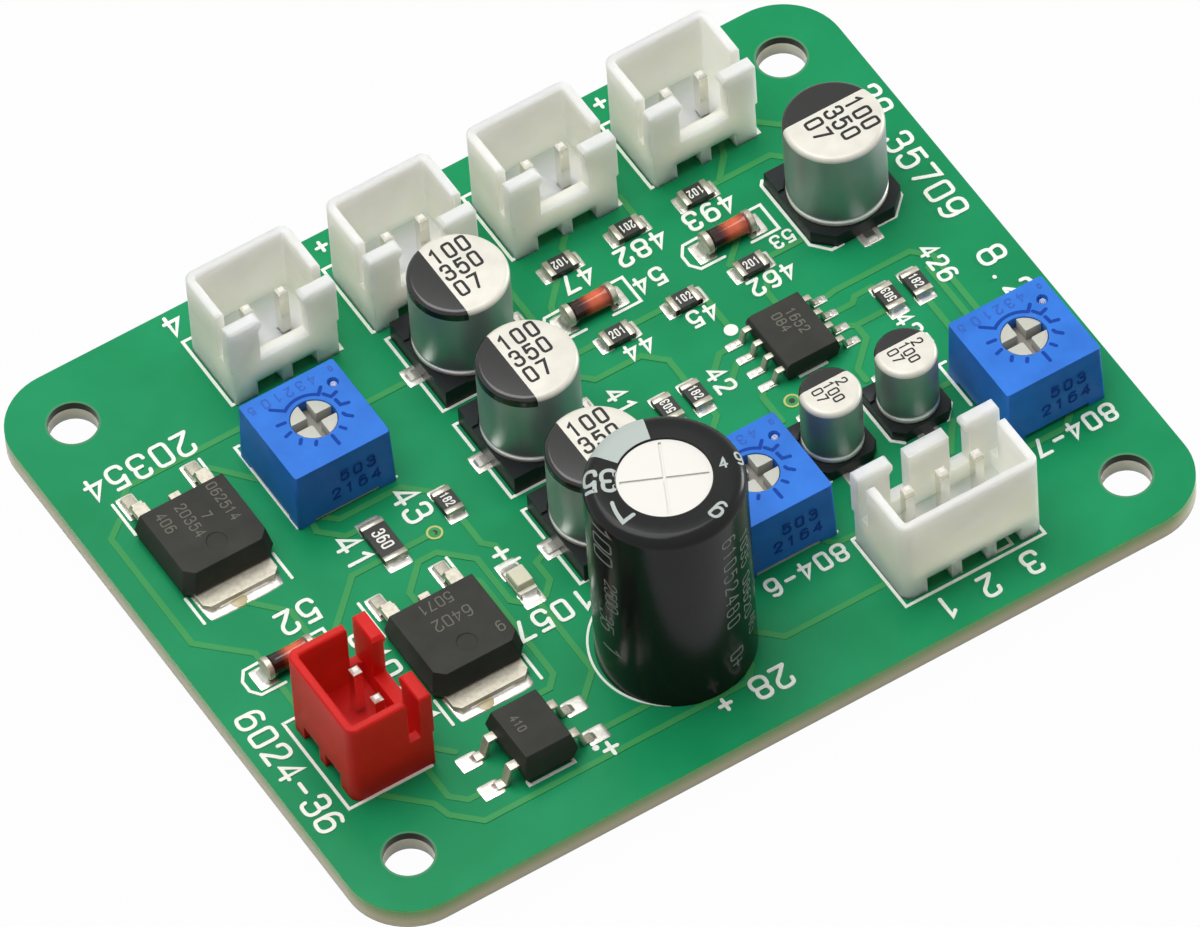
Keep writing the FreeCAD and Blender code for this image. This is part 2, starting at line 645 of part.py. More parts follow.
# ---- packages with bent leads on both long sides: leads point along X, seat at z = 0 ----
def bent_leads(width, level, pitch, count, lead_width, thickness, reach):
    """Gull-wing leads in two rows; each starts inside the body at the given level."""
    start = width / 2 - reach / 2
    knee = width / 2 + reach / 4
    heel = width / 2 + reach / 2
    toe = width / 2 + reach
    outline = [(start, level), (knee, level), (heel, 0), (toe, 0), (toe, thickness),
               (heel + thickness, thickness), (knee + thickness, level + thickness), (start, level + thickness)]
    leads = []
    for side in (-1, 1):
        for i in range(count):
            y = pitch * (i - (count - 1) / 2)
            points = [(side * x, z) for x, z in outline]
            leads.append(plate_across(points, y - lead_width / 2, y + lead_width / 2))
    return leads


def amplifier_parts():
    half_x = AMPLIFIER_WIDTH / 2
    half_y = AMPLIFIER_LENGTH / 2
    draft = AMPLIFIER_DRAFT
    top = AMPLIFIER_STANDOFF + AMPLIFIER_HEIGHT
    parting = AMPLIFIER_LEAD_LEVEL
    level = parting - AMPLIFIER_LEAD_THICKNESS / 2
    leads = bent_leads(AMPLIFIER_WIDTH, level, AMPLIFIER_LEAD_PITCH, AMPLIFIER_LEADS_PER_SIDE,
                       AMPLIFIER_LEAD_WIDTH, AMPLIFIER_LEAD_THICKNESS, AMPLIFIER_LEAD_REACH)
    body = tapered([
        (draft - half_x, half_x - draft, draft - half_y, half_y - draft, AMPLIFIER_STANDOFF),
        (-half_x, half_x, -half_y, half_y, parting),
        (draft - half_x, half_x - draft, draft - half_y, half_y - draft, top)])
    # the long top edge over the first lead is bevelled
    bevel = [(draft - half_x - draft, top), (draft - half_x - draft, top - AMPLIFIER_BEVEL_DROP),
             (AMPLIFIER_BEVEL_WIDTH - half_x + draft, top)]
    body = body.cut(plate_across(bevel, -half_y, half_y))
    return body.cut(leads), leads


def bridge_parts():
    half_x = BRIDGE_WIDTH / 2
    half_y = BRIDGE_LENGTH / 2
    draft = BRIDGE_DRAFT
    top = BRIDGE_STANDOFF + BRIDGE_HEIGHT
    middle = BRIDGE_STANDOFF + BRIDGE_HEIGHT / 2
    leads = bent_leads(BRIDGE_WIDTH, middle - BRIDGE_LEAD_THICKNESS / 2, BRIDGE_LEAD_PITCH,
                       BRIDGE_LEADS_PER_SIDE, BRIDGE_LEAD_WIDTH, BRIDGE_LEAD_THICKNESS, BRIDGE_LEAD_REACH)
    body = tapered([
        (draft - half_x, half_x - draft, draft - half_y, half_y - draft, BRIDGE_STANDOFF),
        (-half_x, half_x, -half_y, half_y, middle),
        (draft - half_x, half_x - draft, draft - half_y, half_y - draft, top)])
    return body.cut(leads), leads


# ---- two-terminal parts lying along X, seat at z = 0 ----
def lying_cylinder(radius, x0, x1):
    return Part.makeCylinder(radius, x1 - x0, Vector(x0, 0, DIODE_CAP_DIAMETER / 2), Vector(1, 0, 0))


def diode_parts():
    end = DIODE_LENGTH / 2
    glass_end = end - DIODE_CAP_LENGTH
    glass = lying_cylinder(DIODE_GLASS_DIAMETER / 2, -glass_end, glass_end)
    caps = [lying_cylinder(DIODE_CAP_DIAMETER / 2, -end, -glass_end),
            lying_cylinder(DIODE_CAP_DIAMETER / 2, glass_end, end)]
    return glass, caps


def chip_parts(length, width):
    """Ceramic slab with a raised coating, and two plated ends that wrap over top and bottom."""
    half_x = length / 2
    half_y = width / 2
    plating = CHIP_PLATING
    top = plating + CHIP_THICKNESS
    coat = half_x - CHIP_TERMINAL_LENGTH
    slab = box(plating - half_x, half_x - plating, -half_y, half_y, plating, top)
    slab = slab.fuse(box(-coat, coat, -half_y, half_y, top, top + CHIP_COATING)).removeSplitter()
    ends = []
    for side in (-1, 1):
        near, far = sorted((side * coat, side * half_x))
        ends.append(box(near, far, -half_y, half_y, 0, top + plating).cut(slab))
    return slab, ends


def indicator_parts():
    half_x = CHIP_LENGTH / 2
    half_y = CHIP_WIDTH / 2
    base = box(-half_x, half_x, -half_y, half_y, 0, INDICATOR_BASE_THICKNESS)
    lens_x = INDICATOR_LENS_LENGTH / 2
    draft = INDICATOR_LENS_DRAFT
    lens = tapered([
        (-lens_x, lens_x, -half_y, half_y, INDICATOR_BASE_THICKNESS),
        (draft - lens_x, lens_x - draft, draft - half_y, half_y - draft,
         INDICATOR_BASE_THICKNESS + INDICATOR_LENS_HEIGHT)])
    return base, lens


# ---- through leads: every place where a lead goes through the board ----
# each entry is (x, y, "square" or "round", width)
through_leads = []


def add_headers():
    places = [("meter_header_%d" % (i + 1), 2, (METER_HEADER_FIRST_X + i * METER_HEADER_SPACING, METER_HEADER_Y), 0)
              for i in range(METER_HEADER_COUNT)]
    places.append(("signal_header", 3, SIGNAL_HEADER_AT, 180))
    places.append(("power_header", 2, POWER_HEADER_AT, 90))
    for name, pin_count, at, angle in places:
        save(name + "_housing", [placed(header_housing(pin_count), at, angle)])
        tip_height = TWO_PIN_TIP_HEIGHT if pin_count == 2 else THREE_PIN_TIP_HEIGHT
        pins = []
        for x in pin_positions(pin_count):
            pin = header_pin(tip_height)
            pin.translate(Vector(x, 0, 0))
            pins.append(placed(pin, at, angle))
            through_leads.append(placed_point(x, 0, at, angle) + ("square", PIN_WIDTH))
        save(name + "_pins", pins)


def add_trimmers():
    leads, seals, elements = [], [], []
    for i, at in enumerate(TRIMMERS_AT):
        name = "trimmer_%d_" % (i + 1)
        save(name + "housing", [placed(trimmer_housing(), at)])
        save(name + "rotor", [placed(trimmer_rotor(), at)])
        save(name + "wiper", [placed(trimmer_wiper(), at)])
        seals.append(placed(trimmer_seal(), at))
        elements.append(placed(trimmer_element(), at))
        for x, y in trimmer_lead_positions():
            spot = (at[0] + x, at[1] + y)
            leads.append(placed(trimmer_lead(), spot))
            through_leads.append(spot + ("round", TRIMMER_LEAD_DIAMETER))
    save("trimmer_leads", leads)
    save("trimmer_seals", seals)
    save("trimmer_elements", elements)


def add_flat_base_capacitors():
    output = FlatBase(LARGE_CAN_DIAMETER, LARGE_CAN_TOP, LARGE_BASE_SIDE, OUTPUT_BASE_PLATE,
                      LARGE_BASE_CORNER_CUT, LARGE_POST_OFFSET)
    supply = FlatBase(LARGE_CAN_DIAMETER, LARGE_CAN_TOP, LARGE_BASE_SIDE, FILTER_BASE_PLATE,
                      LARGE_BASE_CORNER_CUT, LARGE_POST_OFFSET)
    coupling = FlatBase(SMALL_CAN_DIAMETER, SMALL_CAN_TOP, SMALL_BASE_SIDE, COUPLING_BASE_PLATE,
                        SMALL_BASE_CORNER_CUT, SMALL_POST_OFFSET)
    places = [("output_capacitor_%d" % (i + 1), output,
               (OUTPUT_CAPACITOR_X, OUTPUT_CAPACITOR_FIRST_Y - i * OUTPUT_CAPACITOR_SPACING), 0)
              for i in range(OUTPUT_CAPACITOR_COUNT)]
    places.append(("filter_capacitor", supply, FILTER_CAPACITOR_AT, -90))
    places += [("coupling_capacitor_%d" % (i + 1), coupling, at, -90)
               for i, at in enumerate(COUPLING_CAPACITORS_AT)]
    strips, bungs, windings = [], [], []
    for name, kind, at, angle in places:
        save(name + "_can", [placed(kind.can(), at, angle)])
        save(name + "_base", [placed(kind.base(), at, angle)])
        strips += [placed(kind.strip(side), at, angle) for side in (-1, 1)]
        bungs.append(placed(kind.bung(), at, angle))
        windings.append(placed(kind.winding(), at, angle))
    save("capacitor_strips", strips)
    save("capacitor_bungs", bungs)
    save("capacitor_windings", windings)


def add_reservoir():
    sleeve, can, bung, winding, leads = reservoir_parts()
    for name, solids in (("sleeve", [sleeve]), ("can", [can]), ("bung", [bung]),
                         ("winding", [winding]), ("leads", leads)):
        save("reservoir_" + name, [placed(solid, RESERVOIR_AT) for solid in solids])
    for y in reservoir_lead_offsets():
        through_leads.append((RESERVOIR_AT[0], RESERVOIR_AT[1] + y, "round", RESERVOIR_LEAD_DIAMETER))


def add_packages():
    frame = regulator_frame()
    body = regulator_body(frame)
    for i, at in enumerate(REGULATORS_AT):
        name = "regulator_%d_" % (i + 1)
        save(name + "body", [placed(body, at)])
        save(name + "frame", [placed(solid, at) for solid in frame])
    for name, at, (body, leads) in (("amplifier", AMPLIFIER_AT, amplifier_parts()),
                                    ("bridge", BRIDGE_AT, bridge_parts())):
        save(name + "_body", [placed(body, at)])
        save(name + "_leads", [placed(lead, at) for lead in leads])


def add_small_parts():
    glass, caps = diode_parts()
    save("diode_glass", [placed(glass, at) for at in DIODES_AT])
    save("diode_caps", [placed(cap, at) for at in DIODES_AT for cap in caps])
    slabs, ends = [], []
    places = [(CHIP_LENGTH, CHIP_WIDTH, at, 0) for at in CHIPS_ALONG_X_AT]
    places += [(CHIP_LENGTH, CHIP_WIDTH, at, 90) for at in CHIPS_ALONG_Y_AT]
    places.append((LONG_CHIP_LENGTH, LONG_CHIP_WIDTH, LONG_CHIP_AT, 90))
    for length, width, at, angle in places:
        slab, pair = chip_parts(length, width)
        slabs.append(placed(slab, at, angle))
        ends += [placed(end, at, angle) for end in pair]
    save("resistor_slabs", slabs)
    save("resistor_ends", ends)
    base, lens = indicator_parts()
    save("indicator_base", [placed(base, INDICATOR_AT, 90)])
    save("indicator_lens", [placed(lens, INDICATOR_AT, 90)])


def lead_outline(kind, width, x, y, z0, z1):
    if kind == "square":
        return box(x - width / 2, x + width / 2, y - width / 2, y + width / 2, z0, z1)
    return cylinder(width / 2, x, y, z0, z1)


def add_board():
    half_x = BOARD_LENGTH / 2
    half_y = BOARD_WIDTH / 2
    board = rounded_slab(-half_x, half_x, -half_y, half_y, (BOARD_CORNER_RADIUS,) * 4, 0, BOARD_THICKNESS)
    drills = [cylinder(MOUNT_HOLE_DIAMETER / 2, sx * (half_x - MOUNT_HOLE_INSET),
                       sy * (half_y - MOUNT_HOLE_INSET), 0, BOARD_THICKNESS)
              for sx in (-1, 1) for sy in (-1, 1)]
    drills += [cylinder(VIA_DIAMETER / 2, x, y, 0, BOARD_THICKNESS) for x, y in VIAS_AT]
    joints = []
    for x, y, kind, width in through_leads:
        reach = width / math.sqrt(2) if kind == "square" else width / 2
        drills.append(cylinder(reach + LEAD_HOLE_CLEARANCE, x, y, 0, BOARD_THICKNESS))
        cone = Part.makeCone(reach + SOLDER_TIP_MARGIN, SOLDER_RADIUS, SOLDER_HEIGHT, Vector(x, y, -SOLDER_HEIGHT))
        joints.append(cone.cut(lead_outline(kind, width, x, y, -SOLDER_HEIGHT, 0)))
    save("circuit_board", [board.cut(drills)])
    save("solder_joints", joints)


os.makedirs("parts", exist_ok=True)
add_headers()
add_trimmers()
add_flat_base_capacitors()
add_reservoir()
add_packages()
add_small_parts()
add_board()
print("nodes written:", len([name for name in os.listdir("parts") if name.endswith(".step")]))
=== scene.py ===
# %% [markdown]
# # A level meter driver board
#
# The solids of the board come from a CAD model. This lesson gives them real finishes and adds
# what the solids leave out: printed legend, copper tracks under solder mask, tinned pads, solder
# and markings. Every new shape is a surface worked out with numpy in millimetres, the unit such a
# board is drawn in, and is turned to Blender's metres at the last moment.

# %% Load the frame
import math

import bmesh
import bpy
import numpy as np
from mathutils import Matrix, Vector


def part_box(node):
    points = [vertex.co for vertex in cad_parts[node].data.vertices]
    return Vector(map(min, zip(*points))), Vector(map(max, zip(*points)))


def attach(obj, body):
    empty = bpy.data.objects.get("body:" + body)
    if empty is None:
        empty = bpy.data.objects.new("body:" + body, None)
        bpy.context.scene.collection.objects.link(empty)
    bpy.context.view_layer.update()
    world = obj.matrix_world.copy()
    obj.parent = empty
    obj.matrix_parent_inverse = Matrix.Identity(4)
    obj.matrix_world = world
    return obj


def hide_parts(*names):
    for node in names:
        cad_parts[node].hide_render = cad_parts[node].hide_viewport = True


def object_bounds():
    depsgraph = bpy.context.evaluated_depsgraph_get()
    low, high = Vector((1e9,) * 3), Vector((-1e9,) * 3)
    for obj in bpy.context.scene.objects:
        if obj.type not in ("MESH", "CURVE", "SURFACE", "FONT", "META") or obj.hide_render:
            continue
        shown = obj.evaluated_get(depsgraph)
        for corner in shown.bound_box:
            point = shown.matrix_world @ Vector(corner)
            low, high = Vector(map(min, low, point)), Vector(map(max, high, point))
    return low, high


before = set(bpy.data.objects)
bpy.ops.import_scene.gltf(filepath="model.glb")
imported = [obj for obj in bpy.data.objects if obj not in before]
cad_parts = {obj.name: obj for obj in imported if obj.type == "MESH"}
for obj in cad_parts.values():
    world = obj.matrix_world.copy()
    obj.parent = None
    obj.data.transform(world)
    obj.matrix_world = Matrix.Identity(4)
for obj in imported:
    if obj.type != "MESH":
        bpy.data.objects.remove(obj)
cad_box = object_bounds()
MM = 0.001
BODY = "assembled_board"
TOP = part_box("circuit_board")[1].z / MM
FLOOR = cad_box[0].z / MM
print("nodes:", len(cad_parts), "board top at", round(TOP, 3), "mm, floor at", round(FLOOR, 3))

# %% [markdown]
# ## Camera
# A product shot of something this small is taken from a distance with a long lens. It keeps the
# board's edges almost parallel, which a short lens close by would not. The three axes of the
# camera could be found by aiming it at a target, but here they are worked out from an azimuth, an
# elevation and a small roll, so that each can be changed by itself.

# %% Camera
CAMERA_AT = (-0.318104, -0.587712, 0.868396)
AZIMUTH, ELEVATION, ROLL = math.radians(-28.4292), math.radians(52.4149), math.radians(-4.3722)
LENS, SENSOR = 536.06, 36.0
NEAREST, FARTHEST = 0.01, 20


def camera_axes(azimuth, elevation, roll):
    """Right, up and back of the view; roll turns right and up about back.

    Back is (sin a cos e, -cos a cos e, sin e), right is (cos a, sin a, 0), up is back x right.
    """
    back = Vector((math.sin(azimuth) * math.cos(elevation),
                   -math.cos(azimuth) * math.cos(elevation), math.sin(elevation)))
    right = Vector((math.cos(azimuth), math.sin(azimuth), 0))
    up = back.cross(right)
    turned_right = right * math.cos(roll) + up * math.sin(roll)
    turned_up = up * math.cos(roll) - right * math.sin(roll)
    return Matrix((turned_right, turned_up, back)).transposed()


lens = bpy.data.cameras.new("view")
lens.lens, lens.sensor_width, lens.clip_start, lens.clip_end = LENS, SENSOR, NEAREST, FARTHEST
camera = bpy.data.objects.new("view", lens)
axes = camera_axes(AZIMUTH, ELEVATION, ROLL).to_4x4()
camera.matrix_world = Matrix.Translation(CAMERA_AT) @ axes
bpy.context.scene.collection.objects.link(camera)
bpy.context.scene.camera = camera
print("camera at", CAMERA_AT, "with a", LENS, "mm lens")

# %% [markdown]
# ## Colours and nodes
# Colours are written as sRGB hex, as one reads them off a screen. A shader works in linear light,
# so one function turns them. Materials could be wired by hand in the node editor; wired in code
# they can be read, compared and changed, and one function that adds any node with its settings
# and its links is all that takes.


# %% Colours
def linear(code):
    """sRGB hex to linear RGBA: c/12.92 below 0.04045, else ((c+0.055)/1.055)^2.4."""
    c = np.array([int(code[i:i + 2], 16) for i in (1, 3, 5)]) / 255
    c = np.where(c <= 0.04045, c / 12.92, ((c + 0.055) / 1.055) ** 2.4)
    return (*c.tolist(), 1.0)


print("the middle grey #808080 is", round(linear("#808080")[0], 3), "in linear light")


# %% Nodes
def add(tree, kind, settings=(), stops=(), **inputs):
    """Adds a node with its settings and its links.

    Settings are the node's own properties; stops are a colour ramp's (position, hex) pairs. An
    input goes by its name, or by its number as in i0, and takes a value, a socket to link, or a
    node to link by its first output.
    """
    node = tree.nodes.new(kind)
    for key, value in dict(settings).items():
        setattr(node, key, value)
    if stops:
        ramp = node.color_ramp.elements
        ramp[0].position, ramp[1].position = stops[0][0], stops[-1][0]
        for position, _ in stops[1:-1]:
            ramp.new(position)
        for stop, (_, code) in zip(ramp, stops):
            stop.color = linear(code)
    for key, value in inputs.items():
        numbered = key[0] == "i" and key[1:].isdigit()
        socket = node.inputs[int(key[1:])] if numbered else node.inputs[key.replace("_", " ")]
        if isinstance(value, bpy.types.Node):
            value = value.outputs[0]
        if isinstance(value, bpy.types.NodeSocket):
            tree.links.new(value, socket)
        else:
            socket.default_value = value
    return node


# names of the nodes and settings that come up again and again
MATH, MIX, VECTOR = "ShaderNodeMath", "ShaderNodeMix", "ShaderNodeVectorMath"
NOISE, RAMP, SPLIT = "ShaderNodeTexNoise", "ShaderNodeValToRGB", "ShaderNodeSeparateXYZ"
COORDINATES, RANGE = "ShaderNodeTexCoord", "ShaderNodeMapRange"
BELOW, ABOVE, TIMES, LARGER = ({"operation": name} for name in
                               ("LESS_THAN", "GREATER_THAN", "MULTIPLY", "MAXIMUM"))
OF_COLOURS, OF_NUMBERS = {"data_type": "RGBA"}, {"data_type": "FLOAT"}
MIXED = 2  # a Mix node gives its colour at its third output
print("node helper ready")

# %% [markdown]
# ## One shader for every finish
# Plastic, lacquer and metal can all be told to one Principled shader by colour, roughness and how
# metallic they are. What makes them look made, and not drawn, is a relief too fine to model and a
# slight change of colour from place to place. Both could come from a picture; noise in the
# part's own coordinates needs none and fits a surface of any shape. Its scale is one over the
# size of a lump, so a real size in millimetres sets it.


# %% A finish
LUMP_DETAIL = 3.0


def finish(name, colour, roughness, relief=None, tones=None, **inputs):
    """A material with one Principled shader; returns the material, its tree and the shader.

    Relief is (lump size, depth, strength), sizes in millimetres: noise raises a bump that deep.
    Tones is (lump size, start, hex, end, hex): noise picks a colour between the two.
    """
    material = bpy.data.materials.new(name)
    material.use_nodes = True
    material.diffuse_color = linear(colour)
    tree = material.node_tree
    tree.nodes.clear()
    shader = add(tree, "ShaderNodeBsdfPrincipled", Base_Color=linear(colour),
                 Roughness=roughness, **inputs)
    add(tree, "ShaderNodeOutputMaterial", Surface=shader)
    where = add(tree, COORDINATES).outputs["Object"] if relief or tones else None
    if relief:
        lump, depth, strength = relief
        lumps = add(tree, NOISE, Vector=where, Scale=1 / (lump * MM), Detail=LUMP_DETAIL)
        bump = add(tree, "ShaderNodeBump", Strength=strength, Distance=depth * MM, Height=lumps)
        tree.links.new(bump.outputs[0], shader.inputs["Normal"])
    if tones:
        lump, start, low, end, high = tones
        patches = add(tree, NOISE, Vector=where, Scale=1 / (lump * MM), Detail=LUMP_DETAIL)
        ramp = add(tree, RAMP, stops=[(start, low), (end, high)], Fac=patches)
        tree.links.new(ramp.outputs[0], shader.inputs["Base Color"])
    return material, tree, shader


print("a lump of 0.5 mm is noise of scale", round(1 / (0.5 * MM)))

# %% [markdown]
# ## The board's laminate
# Glass cloth in epoxy, 1.6 mm thick, with a glossy green solder mask printed on both faces. The
# cut edge shows the straw-coloured laminate in thin layers; it lets light through, and takes a
# green tint near the mask. Inside a drilled hole the wall is painted near white, painted light
# for the bright floor seen through the hole, and a dark band under its upper rim is painted
# shade. The faces, the edge and the holes could each have a material of their own, but they
# are one solid, so one material tells them apart by two measures: the height above the
# underside, and the distance to the nearest hole. The holes sit alike in each quarter of the
# board, so the absolute value of the coordinates folds the four into one.

# %% Laminate: height and distance to a hole
HOLE_AT, HOLE_R = (25.75, 19.75), 1.6
laminate, tree, shader = finish("solder_mask_on_glass_laminate", "#178a57", 0.3,
                                Specular_IOR_Level=0.12, Subsurface_Scale=0.0012,
                                Subsurface_Radius=(1.0, 0.95, 0.8))
where = add(tree, COORDINATES).outputs["Object"]
height = add(tree, SPLIT, Vector=where).outputs["Z"]
quarter = add(tree, VECTOR, {"operation": "ABSOLUTE"}, i0=where)
flat = add(tree, VECTOR, TIMES, i0=quarter, i1=(1, 1, 0))
reach = add(tree, VECTOR, {"operation": "DISTANCE"}, i0=flat,
            i1=(HOLE_AT[0] * MM, HOLE_AT[1] * MM, 0)).outputs["Value"]
print("holes at", HOLE_AT, "mm from the middle, radius", HOLE_R, "mm")

# %% [markdown]
# The mask is a poured film, so its green drifts a little over some six millimetres. The edge is
# a stack of cloth layers, drawn by a wave texture along the height; at scale 1 a wave of that
# texture is 0.314 long, and dividing by the thickness of a layer gives it its real size.

# %% Laminate: colours of the mask and of the edge
WAVE_LENGTH, CLOTH_LAYER, MASK_LUMP = 0.314, 0.2, 6.0
patches = add(tree, NOISE, Vector=where, Scale=1 / (MASK_LUMP * MM), Detail=LUMP_DETAIL)
mask = add(tree, RAMP, stops=[(0.35, "#148653"), (0.65, "#1a8e5b")], Fac=patches)
layers = add(tree, "ShaderNodeTexWave", {"bands_direction": "Z"}, Vector=where,
             Scale=WAVE_LENGTH / (CLOTH_LAYER * MM), Distortion=2.0, Detail=2.0).outputs["Fac"]
straw = add(tree, RAMP, stops=[(0.0, "#ddd4b2"), (1.0, "#efe8cd")], Fac=layers)
share = add(tree, MATH, {"operation": "DIVIDE"}, i0=height, i1=TOP * MM)
tint = add(tree, RAMP, stops=[(0.3, "#ffffff"), (0.95, "#86cf9a")], Fac=share)
edge = add(tree, MIX, {"data_type": "RGBA", "blend_type": "MULTIPLY"}, i0=1.0, i6=straw, i7=tint)
print("cloth layers:", round(TOP / CLOTH_LAYER))

# %% Laminate: the drilled holes
HOLE_WALL = HOLE_R + 0.05  # a little beyond the wall, so that the test holds on the wall itself
HOLE_RIM = HOLE_R + 0.13   # out to here the mask has thinned to a paler green
RIM_SHADE_DEPTH = 0.6                # depth of the painted shade under the upper rim
in_hole = add(tree, MATH, BELOW, i0=reach, i1=HOLE_WALL * MM)
upper = add(tree, MATH, ABOVE, i0=height, i1=(TOP - RIM_SHADE_DEPTH) * MM)
painted_rim_shade = add(tree, MATH, TIMES, i0=in_hole, i1=upper)
# painted light: the wall inside a hole is near white, for the bright floor seen through it
drilled = add(tree, MIX, OF_COLOURS, i0=in_hole, i6=edge.outputs[MIXED], i7=linear("#f6f4ea"))
# painted shade: a dark band under the hole's upper rim
edge = add(tree, MIX, OF_COLOURS, i0=painted_rim_shade, i6=drilled.outputs[MIXED], i7=linear("#1c2814"))
at_rim = add(tree, MATH, BELOW, i0=reach, i1=HOLE_RIM * MM)
mask = add(tree, MIX, OF_COLOURS, i0=at_rim, i6=mask, i7=linear("#4f8a63"))
print("painted_rim_shade", RIM_SHADE_DEPTH, "mm deep")

# %% [markdown]
# Last, the mask takes the upper and the lower skin, and the edge takes all between. Only the bare
# laminate glows with light from inside, so the same test sets how much subsurface light there is.

# %% Laminate: mask above and below, laminate between
MASK_SKIN, EDGE_GLOW = 0.03, 0.8
RIPPLE, RIPPLE_DEPTH = 0.45, 0.006  # the cloth shows through the mask as a faint ripple
on_top = add(tree, MATH, ABOVE, i0=height, i1=(TOP - MASK_SKIN) * MM)
beneath = add(tree, MATH, BELOW, i0=height, i1=MASK_SKIN * MM)
film = add(tree, MATH, LARGER, i0=on_top, i1=beneath)
seen = add(tree, MIX, OF_COLOURS, i0=film, i6=edge.outputs[MIXED], i7=mask.outputs[MIXED])
bare = add(tree, MATH, {"operation": "SUBTRACT"}, i0=1.0, i1=film)
glow = add(tree, MATH, TIMES, i0=bare, i1=EDGE_GLOW)
ripple = add(tree, NOISE, Vector=where, Scale=1 / (RIPPLE * MM), Detail=2.0)
bump = add(tree, "ShaderNodeBump", Strength=0.35, Distance=RIPPLE_DEPTH * MM, Height=ripple)
tree.links.new(seen.outputs[MIXED], shader.inputs["Base Color"])
tree.links.new(glow.outputs[0], shader.inputs["Subsurface Weight"])
tree.links.new(bump.outputs[0], shader.inputs["Normal"])
print("laminate:", len(tree.nodes), "nodes")

# %% [markdown]
# ## Films on the board
# Tracks are copper under the same mask, and the copper shows through it. The legend is ink pushed
# through a screen. Each could be painted into the laminate's material, but a film that stands up
# by its real thickness catches light along its edges, so each is a shape with its own material.

# %% Mask, ink and flux
# copper under the mask gives the eye a lighter, yellower green
track_mask = finish("solder_mask_on_copper", "#3d9658", 0.32, (0.4, 0.004, 0.3),
                    (3.0, 0.0, "#37904f", 1.0, "#43985a"), Specular_IOR_Level=0.12)[0]
# epoxy ink dries chalky: no gloss, and a grain that shows at the edges of a stroke
legend_ink = finish("printed_legend_ink", "#eef2ea", 0.6, (0.1, 0.01, 0.4),
                    (0.25, 0.0, "#dfe6dc", 1.0, "#f6f8f2"))[0]
# painted shade: a nearly black green for the shade in the small pit of a via
painted_via_shade = finish("painted_shade_in_a_via", "#0c2a18", 0.25)[0]
# flux dries to a clear brown varnish
flux_brown = finish("dried_flux", "#b3a67c", 0.3, Coat_Weight=0.3)[0]
print("films ready")

# %% [markdown]
# ## Metals
# Solder and tin plate freeze from a melt, so their surface is bright but never flat: the lumps
# break each reflection up, and the hollows look darker. A fully metallic shader mirrors the white
# room and little else; where oxide dulls the real metal, the value is lower and some of the
# metal's own pale colour shows. The IOR stays at its default, as metals take theirs from colour.


# %% Metals
METAL_RELIEF, HOLLOW, CREST = 0.4, 0.3, 0.6  # noise below HOLLOW is darkest, above CREST plain


def metal(name, colour, roughness, lump, depth, darker=None, metallic=1.0):
    """Metal with an uneven surface, darker in its hollows; lump and depth in millimetres."""
    tones = (lump, HOLLOW, darker, CREST, colour) if darker else None
    relief = (lump, depth, METAL_RELIEF)
    return finish(name, colour, roughness, relief, tones, Metallic=metallic)[0]


# solder: rounded and bright, lumps of half a millimetre
solder = metal("reflowed_solder", "#d9d7cf", 0.27, 0.5, 0.026, "#c0bdb3", 0.7)
# tin plate on leads and end caps: softer and greyer than solder
tin = metal("matt_tin_plate", "#bfbaaa", 0.36, 0.3, 0.01, "#aca696", 0.6)
# thin mask over a copper ring: a dull olive gold
gold = metal("copper_under_thin_mask", "#a9ad62", 0.45, 0.2, 0.004, metallic=0.3)
# the score lines of the vent scatter light, so the stamped disc looks nearly white
scored_aluminium = metal("stamped_aluminium", "#d2d0ca", 0.5, 0.25, 0.006, metallic=0.2)
# rolled spring alloy: a warm, satin yellow
spring = metal("spring_alloy", "#c2a561", 0.35, 0.3, 0.004)
# etched foil in a roll: pale and matt
winding = metal("wound_foil", "#b8b3a6", 0.45, 0.2, 0.01)
print("metals ready")

# %% [markdown]
# A pin is drawn brass wire, plated bright and then cut off. Its sides mirror the walls of its
# header, and its cut end is torn and matt. Both belong to one CAD solid, so the height decides:
# over the last 0.3 mm the metallic value falls and the pale colour comes through, partly the
# torn end's own and partly a painted highlight on the tip.

# %% Pins
CUT_LENGTH, END_METALLIC = 0.3, 0.2
PIN_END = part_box("power_header_pins")[1].z / MM - CUT_LENGTH
pin_tin, tree, shader = finish("bright_tin_on_brass", "#e8e6dd", 0.16, (0.4, 0.004, 0.4))
up = add(tree, SPLIT, Vector=add(tree, COORDINATES).outputs["Object"]).outputs["Z"]
# partly painted highlight: the tip turns pale and less metallic
cut_end = add(tree, RANGE, Value=up, From_Min=PIN_END * MM, From_Max=(PIN_END + CUT_LENGTH) * MM,
              To_Min=1.0, To_Max=END_METALLIC)
tree.links.new(cut_end.outputs[0], shader.inputs["Metallic"])
print("pins turn pale above", round(PIN_END, 2), "mm")

# %% [markdown]
# ## Plastics
# Moulded parts take the fine grain of their mould. What tells them apart is how deep light goes:
# nylon is milky and glows softly in its corners, glass-filled polyester and epoxy are opaque.
# The glow could be faked with a lighter colour; subsurface light gives it the right way round,
# strongest where a wall is thin. A real mould's grain, some hundredths of a millimetre, is too
# fine to show here, so it is drawn about a tenth of a millimetre across.


# %% Plastics
FLOW_MARK = 2.0  # millimetres: how far apart a moulding's slight changes of colour are
PLASTIC_RELIEF = 0.35


def plastic(name, colour, roughness, lump, depth, low=None, high=None, **inputs):
    """Moulded plastic, of one colour or of two close ones; lump and depth in millimetres."""
    tones = (FLOW_MARK, 0.3, low, 0.7, high) if low else None
    return finish(name, colour, roughness, (lump, depth, PLASTIC_RELIEF), tones, **inputs)[0]


GLOW = {"Subsurface_Scale": 0.004, "Subsurface_Radius": (1.0, 0.95, 0.8)}  # 4 mm, blue least
# natural nylon: creamy white, with soft shadows inside the header
nylon_white = plastic("moulded_nylon_natural", "#fcf9e9", 0.42, 0.12, 0.006, "#fbf8e6", "#fefcf0",
                      Subsurface_Weight=1.0, **GLOW)
